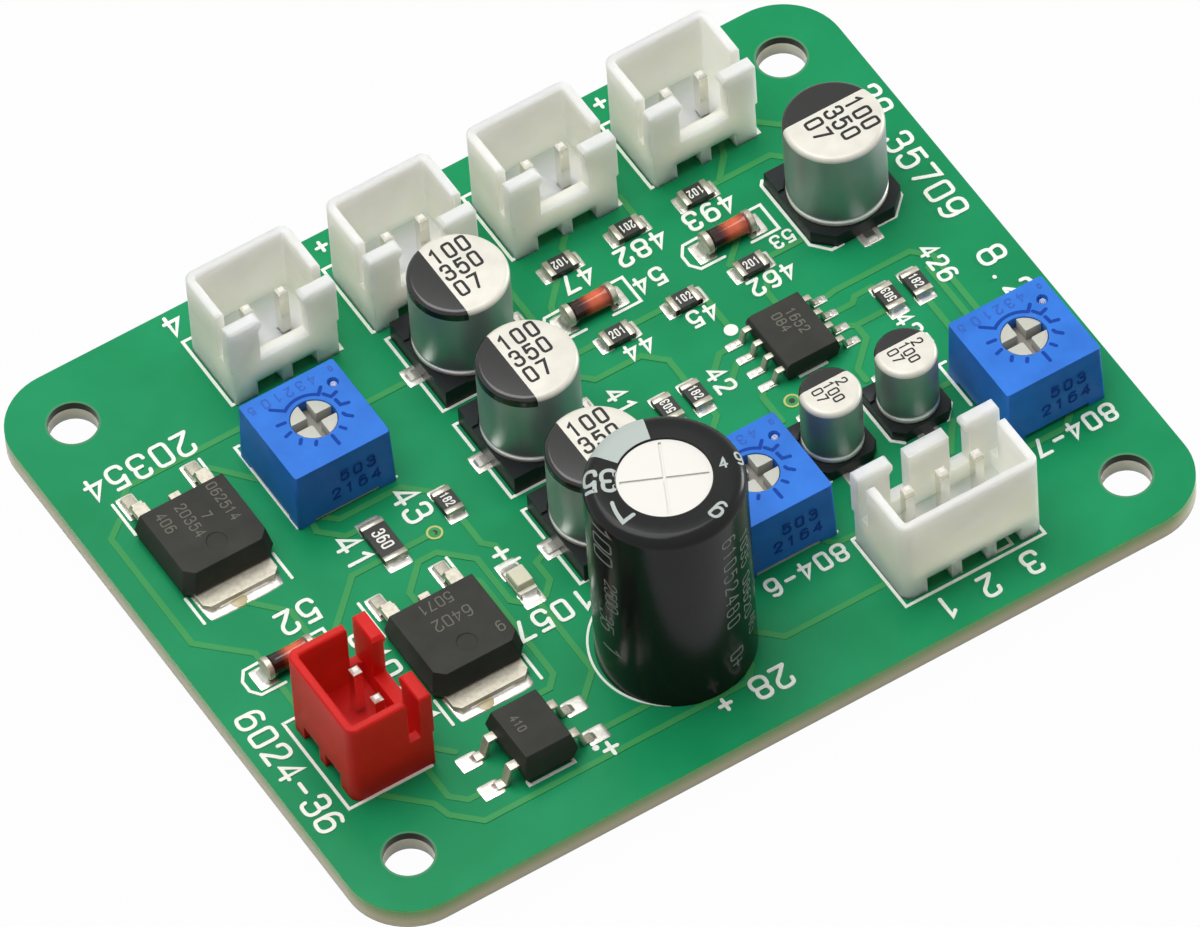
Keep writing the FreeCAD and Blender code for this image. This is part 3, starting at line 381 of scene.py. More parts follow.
# dyed nylon: the dye stops the light sooner, so the corners stay deep red
nylon_red = plastic("moulded_nylon_red", "#cc1411", 0.45, 0.12, 0.006, "#c6120f", "#d21814",
                    Specular_IOR_Level=0.2, Subsurface_Weight=0.5, **GLOW)
# glass-filled polyester: an even, opaque blue with a satin skin
trimmer_blue = plastic("moulded_polyester_blue", "#2c71d1", 0.4, 0.1, 0.008, "#286bc9", "#3077d9",
                       Specular_IOR_Level=0.2)
# the engraved scale lies in shadow: the same blue, darker and without gloss
scale_blue = plastic("engraved_scale_blue", "#15429c", 0.6, 0.1, 0.004, Specular_IOR_Level=0.1)
# raised figures: the same blue plastic, painted darker as shade along their edges, to be read
faint_blue = plastic("raised_figure_blue", "#2259b4", 0.45, 0.1, 0.004, Specular_IOR_Level=0.3)
print("header and trimmer plastics ready")

# %% Black plastics, resin and rubber
# the capacitors' foot plates: a cool, nearly black satin
base_black = plastic("moulded_base_black", "#191e1f", 0.42, 0.12, 0.01, "#161b1c", "#1d2222",
                     Specular_IOR_Level=0.2)
# transfer-moulded epoxy of the packages: a sanded, warm grey-black
package_black = plastic("moulded_epoxy_black", "#30302b", 0.55, 0.06, 0.02, "#2a2a27", "#343530",
                        Specular_IOR_Level=0.18)
# a laser burns the epoxy a shade lighter
package_mark = plastic("laser_mark_grey", "#5f5d52", 0.7, 0.1, 0.004)
# heat-shrink film: thin, glossy, wavy over some 0.9 mm where it has shrunk
sleeve_black = plastic("heat_shrink_film_black", "#191b1a", 0.22, 0.9, 0.02,
                       Specular_IOR_Level=0.17)
rubber = plastic("bung_rubber", "#26282a", 0.7, 0.1, 0.01)  # no gloss at all
epoxy = plastic("cast_epoxy_blue", "#3b5f95", 0.3, 0.8, 0.02)  # poured, so glossy and rippled
ceramic = plastic("fired_alumina", "#e6e2d6", 0.5, 0.05, 0.004)  # chalk white, very fine grain
print("dark plastics ready")

# %% Glaze, inks and lamp
chip_coat = plastic("resistor_glaze", "#2f302d", 0.4, 0.2, 0.006,
                    Specular_IOR_Level=0.3)  # fired glass paste: dark, softly glossy
chip_ink = plastic("resistor_figures", "#e9e9e2", 0.5, 0.1, 0.002)  # stays clean white
can_ink = plastic("can_black_ink", "#1b1c1d", 0.32, 0.15, 0.006,
                  Specular_IOR_Level=0.3)  # glossier than the lacquer it is printed on
sleeve_ink = plastic("sleeve_grey_ink", "#a9b3ae", 0.4, 0.2, 0.004)  # cool light grey
shaded_side_ink = plastic("grey_ink_painted_shaded", "#78807c", 0.45, 0.2, 0.004)  # the same grey ink, painted darker as shade on the upright side
lamp_base = plastic("white_lamp_laminate", "#e4e0cf", 0.5, 0.2, 0.004)  # warm, matt white
lamp_lens = plastic("clear_lamp_epoxy", "#f3eed2", 0.18, 0.3, 0.004, Transmission_Weight=0.25,
                    Subsurface_Weight=0.3, Subsurface_Scale=0.0004)  # watery, faintly yellow
print("inks and lamp ready:", len(bpy.data.materials), "materials")

# %% [markdown]
# ## The trimmers' rotors
# A grey moulded disc with a screwdriver slot. The slot is dark because little light reaches its
# floor. A render gives the shadow; a ramp on the height paints more shade towards the floor.

# %% Rotor
SLOT_FLOOR, ROTOR_FACE = TOP + 3.7, TOP + 4.75
rotor_cream, tree, shader = finish("moulded_rotor_grey", "#b2b4aa", 0.45, (0.15, 0.01, 0.35))
depth = add(tree, SPLIT, Vector=add(tree, COORDINATES).outputs["Object"]).outputs["Z"]
rise = add(tree, RANGE, Value=depth, From_Min=SLOT_FLOOR * MM, From_Max=ROTOR_FACE * MM)
# painted shade: the ramp darkens the rotor towards the slot floor
painted_slot_shade = add(tree, RAMP, stops=[(0.0, "#6b655c"), (1.0, "#b9bab0")], Fac=rise)
tree.links.new(painted_slot_shade.outputs[0], shader.inputs["Base Color"])
print("slot", round(ROTOR_FACE - SLOT_FLOOR, 2), "mm deep")

# %% [markdown]
# ## Mesh helpers
# Almost everything added to a board is a closed skin between an upper and a lower grid of points:
# a track, a pad, a printed line, a bead of solder. Such a grid could be pulled about in edit
# mode; worked out as an array, a hundred of them cost one line. A few functions turn the arrays
# into objects, and say what each rides on and which solid it stands for.


# %% Grids and skins
def skin_faces(rows, columns):
    """Quads of a closed skin: upper grid, lower grid turned over, and the rim between them."""
    at = np.arange(rows * columns).reshape(rows, columns)
    under = at + rows * columns
    upper = np.stack([at[:-1, :-1], at[1:, :-1], at[1:, 1:], at[:-1, 1:]], -1)
    lower = np.stack([under[:-1, :-1], under[:-1, 1:], under[1:, 1:], under[1:, :-1]], -1)
    rim = np.concatenate([at[:, 0], at[-1, 1:], at[-2::-1, -1], at[0, -2:0:-1]])
    after = np.roll(rim, -1)
    wall = np.stack([rim, after, after + rows * columns, rim + rows * columns], -1)
    return np.concatenate([upper.reshape(-1, 4), lower.reshape(-1, 4), wall[:, ::-1]])


def skin(upper, lower):
    """Closed skin between two grids of points of shape (rows, columns, 3), in millimetres."""
    rows, columns = upper.shape[:2]
    return np.concatenate([upper.reshape(-1, 3), lower.reshape(-1, 3)]), skin_faces(rows, columns)


def joined(parts):
    """Several (vertices, faces) pairs as one: each one's faces count on from the last one's."""
    starts = np.cumsum([0] + [len(v) for v, f in parts[:-1]])
    faces = [f + start for (v, f), start in zip(parts, starts)]
    return np.concatenate([v for v, f in parts]), np.concatenate(faces)


print("a skin of 3 x 3 points has", len(skin_faces(3, 3)), "faces")

# %% Pieces
SHARP = 35.0  # faces that meet at less than this many degrees are shaded as one surface
SEAM, SLIVER = 2e-7, 1e-7  # metres


def dress(piece, material, body=BODY, replaces=(), sharp=SHARP):
    """Links a piece, smooths it up to an edge angle, and says what it rides on and stands for."""
    bpy.context.scene.collection.objects.link(piece)
    if sharp:
        piece.data.polygons.foreach_set("use_smooth", [True] * len(piece.data.polygons))
        piece.data.set_sharp_from_angle(angle=math.radians(sharp))
    piece.data.materials.clear()
    piece.data.materials.append(material)
    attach(piece, body)
    if replaces:
        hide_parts(*replaces)
    print(piece.name, "-", len(piece.data.polygons), "faces")
    return piece


def make_piece(name, parts, material, body=BODY, replaces=(), sharp=SHARP, uv=None):
    """Object from (vertices, faces) in millimetres: seams merged, faces outwards, on a body."""
    vertices, faces = joined(parts)
    mesh = bpy.data.meshes.new(name)
    mesh.from_pydata((vertices * MM).tolist(), [], faces.tolist())
    if uv is not None:
        corner = np.empty(len(mesh.loops), np.int32)
        mesh.loops.foreach_get("vertex_index", corner)
        values = uv(vertices[corner]).astype(np.float32).ravel()
        mesh.uv_layers.new(name="along").data.foreach_set("uv", values)
    work = bmesh.new()
    work.from_mesh(mesh)
    bmesh.ops.remove_doubles(work, verts=work.verts, dist=SEAM)
    bmesh.ops.dissolve_degenerate(work, edges=work.edges, dist=SLIVER)
    bmesh.ops.recalc_face_normals(work, faces=work.faces)
    work.to_mesh(mesh)
    work.free()
    return dress(bpy.data.objects.new(name, mesh), material, body, replaces, sharp)


print("mesh helpers ready")

# %% [markdown]
# ## Bands: tracks, printed lines and figures
# A band is a path with a width. Blender's curves could draw it, but printed strokes cross, and
# two tops in one plane would flicker black. Worked out as a skin, each band's top climbs a few
# millionths of a metre along its length, and the next stroke starts above it. At each point the
# two edges lie half the width to either side, along the line that halves the bend, and both ends
# are half circles.

# %% Bands along a path
CAP_STEPS = 5   # stations in each half-round end
LIFT = 0.0015   # millimetres from one stroke's start to its end, halved
LAYERS = 4      # strokes stacked before the heights start again
SHARPEST = 0.5  # the least cosine a mitre is worked out with, so that a sharp bend stays short


def band(path, width, low, high):
    """Flat band along a path from height low to high, with mitred bends and half-round ends.

    Its top climbs by twice LIFT from start to end. The edge offset at a bend is the unit normal
    over the cosine of half the bend. Beyond each end the stations go out by r cos a while the
    half width is r sin a, for a from 0 to 90 degrees.
    """
    path = np.asarray(path, float)
    r = width / 2
    heading = np.diff(path, axis=0)
    heading /= np.linalg.norm(heading, axis=1, keepdims=True)
    before, after = np.vstack([heading[:1], heading]), np.vstack([heading, heading[-1:]])
    tangent = before + after
    tangent /= np.linalg.norm(tangent, axis=1, keepdims=True)
    stretch = 1 / np.maximum((tangent * after).sum(1), SHARPEST)
    a = np.linspace(0, math.pi / 2, CAP_STEPS + 1)[:-1]
    first = path[0] - heading[0] * (r * np.cos(a))[:, None]
    last = path[-1] + heading[-1] * (r * np.cos(a[::-1]))[:, None]
    middle = np.vstack([first, path, last])
    across = np.vstack([np.repeat(heading[:1], len(a), 0), tangent,
                        np.repeat(heading[-1:], len(a), 0)])
    half = r * np.concatenate([np.sin(a), stretch, np.sin(a[::-1])])
    normal = np.stack([-across[:, 1], across[:, 0]], 1) * half[:, None]
    edges = np.stack([middle + normal, middle - normal], 1)
    climb = np.linspace(0, 2 * LIFT, len(edges))[:, None, None]
    top = np.broadcast_to(high + climb, (len(edges), 2, 1))
    bottom = np.full((len(edges), 2, 1), low)
    return skin(np.concatenate([edges, top], 2), np.concatenate([edges, bottom], 2))


def layered(paths, width, low, high):
    """Bands of one width whose tops lie a little higher one after the other."""
    return [band(p, width, low, high + 3 * LIFT * (k % LAYERS)) for k, p in enumerate(paths)]


vertices, faces = band([(0, 0), (4, 0), (4, 3)], 0.5, 0, 0.1)
print("a band with one bend has", len(vertices), "points")

# %% [markdown]
# ## Figures
# The printed figures are strokes of one width with round ends, as a plotter pen draws them. A
# font could give them, but a font fills outlines, and these are centre lines. Each figure is a
# few short paths; where the pen swings round, the corners of its path are cut three times over,
# which leaves a curve.


# %% Rounding and resampling a path
def rounded(points, times=3):
    """Corner cutting: each bend is replaced by the points at a quarter and three quarters."""
    points = np.asarray(points, float)
    for _ in range(times):
        a, b = points[:-1], points[1:]
        cut = np.stack([0.75 * a + 0.25 * b, 0.25 * a + 0.75 * b], 1)
        points = np.vstack([points[:1], cut.reshape(-1, 2)[1:-1], points[-1:]])
    return points


def resampled(path, step):
    """The same path with no two points further apart than a step.

    Points at equal lengths along it are added between the ones it has.
    """
    path = np.asarray(path, float)
    length = np.concatenate([[0], np.cumsum(np.linalg.norm(np.diff(path, axis=0), axis=1))])
    extra = np.linspace(0, length[-1], max(2, int(length[-1] / step) + 2))
    keep = np.unique(np.concatenate([length, extra]).round(5))
    return np.stack([np.interp(keep, length, path[:, 0]), np.interp(keep, length, path[:, 1])], 1)


print("a corner cut three times has", len(rounded([(0, 0), (1, 0), (1, 1)])), "points")

# %% The strokes of each figure
# figures are drawn in a cell four wide and six high; True marks a stroke with rounded bends
FIGURES = {
    "0": [(True, [(2, 6), (0, 6), (0, 3), (0, 0), (2, 0), (4, 0), (4, 3), (4, 6), (2, 6)])],
    "1": [(False, [(0.7, 4.8), (2.2, 6), (2.2, 0)])],
    "2": [(True, [(0.1, 4.4), (0.2, 6.1), (3.9, 6.4), (4.2, 3.8), (2.2, 2.2), (0.1, 0)]),
          (False, [(0.1, 0), (4, 0)])],
    "3": [(True, [(0.2, 4.9), (0.5, 6.3), (3.9, 6.2), (3.8, 3.2), (2.4, 3.2), (1.5, 3.2)]),
          (True, [(1.5, 3.2), (2.6, 3.2), (4.2, 3.1), (4.2, -0.2), (0.3, -0.3), (0, 1.2)])],
    "4": [(False, [(3.1, 0), (3.1, 6), (0, 1.7), (4.2, 1.7)])],
    "5": [(False, [(3.7, 6), (0.6, 6), (0.3, 3.2)]),
          (True, [(0.3, 3.2), (1.5, 4.1), (4.1, 4), (4.2, -0.2), (0.5, -0.4), (0, 1.1)])],
    "6": [(True, [(3.5, 5.8), (1.6, 6.4), (0, 5), (0, 1.8), (0, -0.1), (4, -0.2), (4.2, 3.7),
                  (1.2, 3.9), (0.1, 2.4)])],
    "7": [(False, [(0, 6), (4, 6), (1.5, 0)])],
    "8": [(True, [(2, 3.2), (0.2, 3.2), (0.1, 6.1), (3.9, 6.1), (3.8, 3.2), (2, 3.2)]),
          (True, [(2, 3.2), (-0.2, 3.2), (-0.1, -0.1), (4.1, -0.1), (4.2, 3.2), (2, 3.2)])],
    "9": [(True, [(0.5, 0.2), (2.4, -0.4), (4, 1), (4, 4.2), (4, 6.1), (0, 6.2), (-0.2, 2.3),
                  (2.8, 2.1), (3.9, 3.6)])],
    "+": [(False, [(0, 3), (4, 3)]), (False, [(2, 1), (2, 5)])],
    "-": [(False, [(0.4, 3), (3.6, 3)])],
    ".": [(False, [(1.9, 0), (2.1, 0)])],
}
CELL = (4, 6)


def figure_paths(text, centre, height, stroke, angle=0.0, pitch=0.84, breadth=0.67):
    """Strokes of a row of figures centred on a point; angle in degrees turns the row.

    Height, and breadth as a part of it, are those of a printed figure with its stroke width;
    pitch, again as a part of the height, is the step from one figure to the next.
    """
    scale = ((breadth * height - stroke) / CELL[0], (height - stroke) / CELL[1])
    turn = math.radians(angle)
    axes = np.array([[math.cos(turn), math.sin(turn)], [-math.sin(turn), math.cos(turn)]])
    paths = []
    for i, letter in enumerate(text):
        along = pitch * height * (i - (len(text) - 1) / 2)
        for soft, points in FIGURES.get(letter, []):
            line = rounded(points) if soft else np.array(points, float)
            local = (line - (CELL[0] / 2, CELL[1] / 2)) * scale + (along, 0)
            paths.append(local @ axes + centre)
    return paths


print("figures drawn:", " ".join(FIGURES))

# %% [markdown]
# ## Tracks
# Copper foil 0.035 mm thick, etched away between the tracks and covered with mask. A picture
# could paint them; as bands they stand up by the real thickness of the foil, so that light
# catches their edges when the board is tilted. Each row below is one track, corner by corner.

# %% Tracks on the component side
TRACK_WIDTH, TRACK_RISE, SUNK = 0.42, 0.035, 0.01  # each film starts a little below the surface
TRACKS = [
    [(-27.2, 11.7), (-28.42, 10.7), (-28.42, 1.15), (-25.6, -1.65), (-25.6, -8.5)],
    [(-26.3, 12.9), (-25.5, 13.65), (-15.0, 13.65)],
    [(-21.3, 12.6), (-20.5, 12.0), (-18.6, 9.7)],
    [(-17.5, 5.2), (-17.65, 4.2), (-16.35, 2.9), (-14.9, 2.9)],
    [(-16.8, 5.0), (-16.0, 4.25), (-11.6, 4.25), (-10.3, 3.0)],
    [(-24.1, 2.1), (-22.15, -0.1), (-22.15, -3.0)],
    [(-11.9, 0.12), (-17.6, 0.12), (-21.4, -3.6)],
    [(-15.4, -3.8), (-15.4, -3.0), (-13.7, -1.25), (-12.4, -1.25), (-10.6, -3.05), (-10.6, -6.9),
     (-10.0, -7.5)],
    [(-9.75, 0.4), (-9.75, -2.15), (-9.15, -2.8), (-9.15, -5.2)],
    [(-6.9, -4.95), (-7.75, -5.3), (-7.75, -6.9), (-8.6, -7.8)],
    [(-9.2, -8.0), (-9.2, -14.15), (-10.9, -15.8)],
    [(-25.2, -14.7), (-22.5, -17.4), (-22.2, -18.6), (-20.6, -20.2), (-1.9, -20.2), (-1.0, -19.3),
     (-1.0, -17.6)],
    [(-21.5, -14.5), (-21.5, -17.4), (-20.6, -18.3), (-19.2, -18.3)],
    [(-21.0, -13.1), (-19.4, -14.8)],
    [(-12.4, -3.6), (-11.35, -4.6), (-11.35, -13.1), (-12.1, -13.9), (-13.6, -13.9)],
    [(-11.0, -18.3), (-6.0, -18.3)],
    [(-0.6, -16.1), (1.85, -18.55), (11.6, -18.55)],
    [(-11.5, 11.0), (-7.0, 11.0)],
    [(1.95, 15.8), (1.95, 9.2)],
    [(7.4, 15.6), (6.4, 14.5), (6.4, 13.3)],
    [(4.9, 12.6), (3.4, 10.95), (3.2, 10.0)],
    [(2.0, 7.0), (4.4, 7.0)],
    [(6.4, 7.0), (9.6, 7.0)],
    [(1.2, 6.2), (2.7, 4.65), (6.0, 4.65), (7.25, 3.4), (7.25, 1.3)],
    [(9.0, 1.0), (10.1, 2.1), (11.0, 2.12)],
    [(9.3, -0.4), (10.6, 0.84), (11.0, 0.84)],
    [(11.5, 16.0), (11.5, 13.6)],
    [(18.9, 15.9), (18.6, 15.1), (17.4, 13.7)],
    [(16.6, 13.55), (21.0, 13.55), (22.2, 12.4)],
    [(21.2, 16.7), (23.2, 14.9)],
    [(15.9, 9.2), (14.3, 7.6)],
    [(16.6, 6.8), (19.6, 6.8)],
    [(16.4, 6.4), (15.1, 4.6), (15.1, 2.6)],
    [(11.7, 6.4), (11.7, 3.4)],
    [(17.6, 2.1), (18.6, 2.3), (24.1, 2.3), (25.15, 1.2), (25.15, -6.5)],
    [(24.4, 0.6), (24.4, -6.5)],
    [(17.6, 0.84), (19.0, 0.84), (19.4, 1.25), (20.7, 1.25)],
    [(17.6, -0.4), (18.25, -0.75), (20.6, -0.75)],
    [(18.25, -0.75), (18.25, -1.95), (16.5, -3.7), (16.5, -4.7)],
    [(10.9, -1.7), (10.5, -2.3), (10.5, -4.5)],
    [(23.0, -1.2), (23.0, -6.5)],
    [(19.5, -7.7), (21.6, -7.7)],
    [(25.4, -13.9), (24.7, -14.6), (21.2, -14.6)],
    [(19.2, -10.3), (17.8, -12.3)],
    [(7.3, -13.2), (8.3, -14.3), (10.6, -14.4)],
    [(7.4, -1.1), (7.4, -1.9), (6.5, -2.8)],
]
make_piece("board_tracks", layered(TRACKS, TRACK_WIDTH, TOP - SUNK, TOP + TRACK_RISE),
           track_mask)

# %% [markdown]
# ## Pads and fillets
# A pad is bare copper dipped in solder; a fillet is the concave bead that melts up the end of a
# lead. Melted metal has no straight edge, so a bevelled box would look wrong. A pad is a pillow,
# flat in the middle and falling to the board round its rim, and a fillet is a sheet whose height
# falls away from the lead as a power of the distance. Both are functions of two parameters.

# %% Pillows and wedges
PAD_GRID, PAD_POWER, CORNER_PULL = 13, 8.0, 0.06
FILLET_GRID, FILLET_FALL, FILLET_FLARE, FILLET_LIFT = 9, 2.4, 0.06, 0.012


def pillow(x0, x1, y0, y1, rise):
    """Pad from (x0, y0) to (x1, y1): height is rise times (1-|u|^8)^(1/4) (1-|v|^8)^(1/4).

    The corners are drawn in by the factor 1 - 0.06 (u v)^4, which rounds them.
    """
    t = np.sin(np.linspace(-math.pi / 2, math.pi / 2, PAD_GRID))
    u, v = np.meshgrid(t, t, indexing="ij")
    pull = 1 - CORNER_PULL * (u * v) ** 4
    grid = np.stack([(x0 + x1) / 2 + u * pull * (x1 - x0) / 2,
                     (y0 + y1) / 2 + v * pull * (y1 - y0) / 2], 2)
    fall = [np.clip(1 - np.abs(w) ** PAD_POWER, 0, 1) for w in (u, v)]
    swell = (fall[0] * fall[1]) ** 0.25
    upper = np.concatenate([grid, (TOP + SUNK + rise * swell)[..., None]], 2)
    lower = np.concatenate([grid, np.full(grid.shape[:2] + (1,), TOP - SUNK)], 2)
    return skin(upper, lower)


def wedge(at, heading, depth, width, tall, low):
    """Concave fillet of solder against an upright end face.

    It starts at a point on the face and runs out along a heading (degrees) for its depth. The
    height falls as (1 - v)^2.4 from tall to low, falls off at the sides as 1 - |u|^6, and
    rounds off at the foot as the root of 1 - v^8.
    """
    t = np.linspace(-1, 1, FILLET_GRID)
    v, u = np.meshgrid(np.linspace(0, 1, FILLET_GRID), t, indexing="ij")
    turn = math.radians(heading)
    out = np.array([math.cos(turn), math.sin(turn)])
    side = np.array([-math.sin(turn), math.cos(turn)])
    half = width / 2 * (1 + FILLET_FLARE * v)
    grid = np.asarray(at) + v[..., None] * depth * out + (u * half)[..., None] * side
    rise = low + (tall - low) * (1 - v) ** FILLET_FALL
    rise = rise * (1 - np.abs(u) ** 6) * (1 - v ** 8) ** 0.5
    upper = np.concatenate([grid, (TOP + FILLET_LIFT + rise)[..., None]], 2)
    lower = np.concatenate([grid, np.full(grid.shape[:2] + (1,), TOP)], 2)
    return skin(upper, lower)


print("a pad has", len(pillow(0, 1, 0, 1, 0.05)[1]), "faces")

# %% [markdown]
# ## Where the parts sit
# The middle of each part, in millimetres from the middle of the board. The figures are those of
# the CAD model, so that pads and prints land under and on its solids.

# %% Places
CHIPS_X = [(15.4, 13.3), (10.45, 13.35), (5.5, 13.25), (15.3, 6.65), (10.4, 6.65), (5.55, 6.65)]
CHIPS_Y = [(23.0, -0.2), (21.0, -0.2), (7.1, 0.0), (5.1, 0.05), (-9.9, 1.5)]
LONG_CHIP = (-14.75, 1.1)
LAMP = (-9.4, -6.15)
DIODES = [(15.3, 9.4), (5.2, 9.35), (-24.3, -3.5)]
REGULATORS = [(-23.85, 6.9), (-15.2, -8.18)]
AMPLIFIER = (14.3, 0.2)
BRIDGE = (-15.35, -17.2)
LARGE_CANS = [(-2.77, 11.15, 0), (-2.77, 3.12, 0), (-2.77, -4.91, 0), (22.7, 8.38, -90)]
SMALL_CANS = [(17.5, -7.95, -90), (12.04, -7.95, -90)]
TRIMMERS = [(-14.98, 8.37), (5.22, -10.2), (24.46, -10.47)]
TALL_AT = np.array([-3.81, -15.1])
METERS_X, METERS_Y = (-12.95, -2.82, 7.31, 17.44), 17.6
SIGNAL, POWER = (14.3, -17.08), (-23.08, -11.05)
VIAS = [(-11.7, 0.1), (11.85, -3.5)]
PIN_PITCH, LEAD_PITCH, ROW_PITCH, TAB_LEAD = 2.5, 2.54, 1.27, 2.285
SIDES = (-1, 1)
print("chip resistors:", len(CHIPS_X) + len(CHIPS_Y) + 1, "cans:", len(LARGE_CANS + SMALL_CANS))

# %% [markdown]
# Every soldered end has the same two pieces, at its own distances from the middle of its part.
# So each kind of end is one row of a table, and one loop lays all of them.

# %% Pads and fillets of every part
ROWS = [AMPLIFIER[1] + ROW_PITCH * (row - 1.5) for row in range(4)]
amplifier_rows = [(AMPLIFIER[0], y) for y in ROWS]
bridge_rows = [(BRIDGE[0], BRIDGE[1] + t * LEAD_PITCH / 2) for t in SIDES]
regulator_leads = [(x + s * TAB_LEAD, y) for x, y in REGULATORS for s in SIDES]
# each row: centres, headings, pad (from, to, half width, rise),
# fillet (from, length, width, tall, low), then how far the pad is shifted sideways
ENDS = [
    (CHIPS_X, (0, 180), (0.55, 1.47, 0.68, 0.05), (0.99, 0.42, 1.25, 0.4, 0.03), 0),
    (CHIPS_Y, (90, -90), (0.59, 1.47, 0.68, 0.05), (0.99, 0.408, 1.224, 0.4, 0.03), 0),
    ([LONG_CHIP], (90, -90), (1.19, 2.2, 0.85, 0.05), (1.59, 0.5185, 1.53, 0.42, 0.03), 0),
    ([LAMP], (90, -90), (0.59, 2.0, 0.75, 0.05), (0.99, 0.8585, 1.35, 0.3, 0.03), 0),
    (DIODES, (0, 180), (1.2, 2.5, 0.85, 0.06), (1.72, 0.55, 1.35, 0.6, 0.03), 0),
    (regulator_leads, (90,), (4.3, 6.25, 0.62, 0.06), (5.84, 0.35, 0.9, 0.3, 0.03), 0),
    (REGULATORS, (-90,), (1.1, 5.05, 2.7, 0.08), (4.34, 0.3, 4.2, 0.16, 0.03), -0.1),
    (amplifier_rows, (0,), (2.5, 3.55, 0.3, 0.12), (3.0, 0.5, 0.52, 0.24, 0.1), 0),
    (amplifier_rows, (180,), (2.5, 3.7, 0.3, 0.12), (3.0, 0.5, 0.52, 0.24, 0.1), 0),
    (bridge_rows, (0, 180), (3.0, 4.5, 0.62, 0.08), (3.38, 0.45, 0.75, 0.24, 0.06), 0),
]
for cans, pad, fillet in [(LARGE_CANS, (2.7, 4.35, 0.75, 0.08), (4.02, 0.33, 0.8, 0.22, 0.03)),
                          (SMALL_CANS, (1.55, 3.3, 0.75, 0.08), (2.87, 0.43, 0.8, 0.22, 0.03))]:
    ENDS += [([(x, y)], (turn, turn + 180), pad, fillet, 0) for x, y, turn in cans]

pads, fillets = [], []
for centres, headings, (start, end, half, rise), (root, *sizes), shift in ENDS:
    for centre in centres:
        for heading in headings:
            turn = math.radians(heading)
            out = np.array([math.cos(turn), math.sin(turn)])
            side = np.array([-out[1], out[0]])
            corners = np.array([centre + out * start - side * half,
                                centre + out * end + side * half]) + (shift, 0)
            (x0, y0), (x1, y1) = corners.min(0), corners.max(0)
            pads.append(pillow(x0, x1, y0, y1, rise))
            fillets.append(wedge(centre + out * root, heading, *sizes))
make_piece("board_pads", pads, solder)
make_piece("solder_fillets", fillets, solder)

# %% [markdown]
# ## Rings round the holes
# A plated hole has a ring of copper round it, and a small one between the layers is painted over
# with mask. A ring could be a torus pressed flat; here it is a profile turned about the hole's
# axis, because the cans and the diodes need the same function with other profiles.


# %% Turned profiles
def turned(profile, centre, steps=48):
    """Closed profile of (radius, height) points turned about an upright axis through centre.

    A point (r, z) goes to (cx + r cos a, cy + r sin a, z), for a from 0 to 360 degrees.
    """
    profile = np.asarray(profile, float)
    angle = np.linspace(0, 2 * math.pi, steps + 1)
    ring = np.stack([np.cos(angle), np.sin(angle)], 1)
    xy = profile[:, None, 0, None] * ring[None] + np.asarray(centre)
    z = np.broadcast_to(profile[:, None, 1, None], xy.shape[:2] + (1,))
    grid = np.concatenate([xy, z], 2)
    at = np.arange(len(profile) * (steps + 1)).reshape(len(profile), steps + 1)
    nxt = np.roll(at, -1, 0)
    faces = np.stack([at[:, :-1], at[:, 1:], nxt[:, 1:], nxt[:, :-1]], -1).reshape(-1, 4)
    return grid.reshape(-1, 3), faces


def washer(inner, outer, low, high):
    """Profile of a flat ring: a rectangle from one radius to another, between two heights."""
    return [(inner, low), (outer, low), (outer, high), (inner, high)]


def arc(cx, cz, radius, start, end, steps):
    """Points (cx + radius cos a, cz + radius sin a) in the profile plane; angles in degrees."""
    a = np.radians(np.linspace(start, end, steps + 1))
    return [(cx + radius * math.cos(t), cz + radius * math.sin(t)) for t in a]


print("a turned washer has", len(turned(washer(1, 2, 0, 1), (0, 0))[1]), "faces")

# %% Small holes between the layers
RING_STEPS, DOT_STEPS = 32, 24
ROOT = TOP - SUNK
rings = [turned(washer(0.4, 0.53, ROOT, TOP + 0.055), at, RING_STEPS) for at in VIAS]
tents = [turned(washer(0.2, 0.41, ROOT, TOP + 0.045), at, RING_STEPS) for at in VIAS]
# painted shade: a dark disc in the middle of each via, where its small pit is in shade
shade_discs = [turned(washer(0, 0.21, ROOT, TOP + 0.04), at, DOT_STEPS) for at in VIAS]
make_piece("via_rings", rings, gold)
make_piece("via_tents", tents, track_mask)
make_piece("via_painted_shade", shade_discs, painted_via_shade)

# %% [markdown]
# Two drops of flux have run out from under the regulators and dried: low domes of brown varnish.

# %% Flux
DROP = [(0, ROOT), (0.75, ROOT), (0.7, TOP + 0.08), (0.35, TOP + 0.11), (0, TOP + 0.12)]
FLUX_AT = [(-24.35, 2.55), (-15.95, -12.5)]
make_piece("flux_spots", [turned(DROP, at, RING_STEPS) for at in FLUX_AT], flux_brown)

# %% [markdown]
# Each lead that goes through the board has a ring on both faces. Underneath, the ring is wetted
# by the cone of solder that the CAD model holds. Boards of this kind keep most of their copper
# below, where nothing stands in its way, so wider tracks run there from lead to lead.

# %% Rings of the leads
TRIMMER_LEADS = [(-LEAD_PITCH, -LEAD_PITCH / 2), (0, LEAD_PITCH / 2), (LEAD_PITCH, -LEAD_PITCH / 2)]
LEADS = [(x + s * PIN_PITCH / 2, METERS_Y) for x in METERS_X for s in SIDES]
LEADS += [(SIGNAL[0] + p * PIN_PITCH, SIGNAL[1]) for p in (-1, 0, 1)]
LEADS += [(POWER[0], POWER[1] + s * PIN_PITCH / 2) for s in SIDES]
LEADS += [(x + p, y + q) for x, y in TRIMMERS for p, q in TRIMMER_LEADS]
LEADS += [(TALL_AT[0], TALL_AT[1] + s * PIN_PITCH) for s in SIDES]
below = [turned(washer(0.4, 1.05, -0.03, SUNK), at, RING_STEPS) for at in LEADS]
above = [turned(washer(0.5, 0.95, ROOT, TOP + 0.03), at, RING_STEPS) for at in LEADS]
make_piece("lead_rings", below + above, solder)

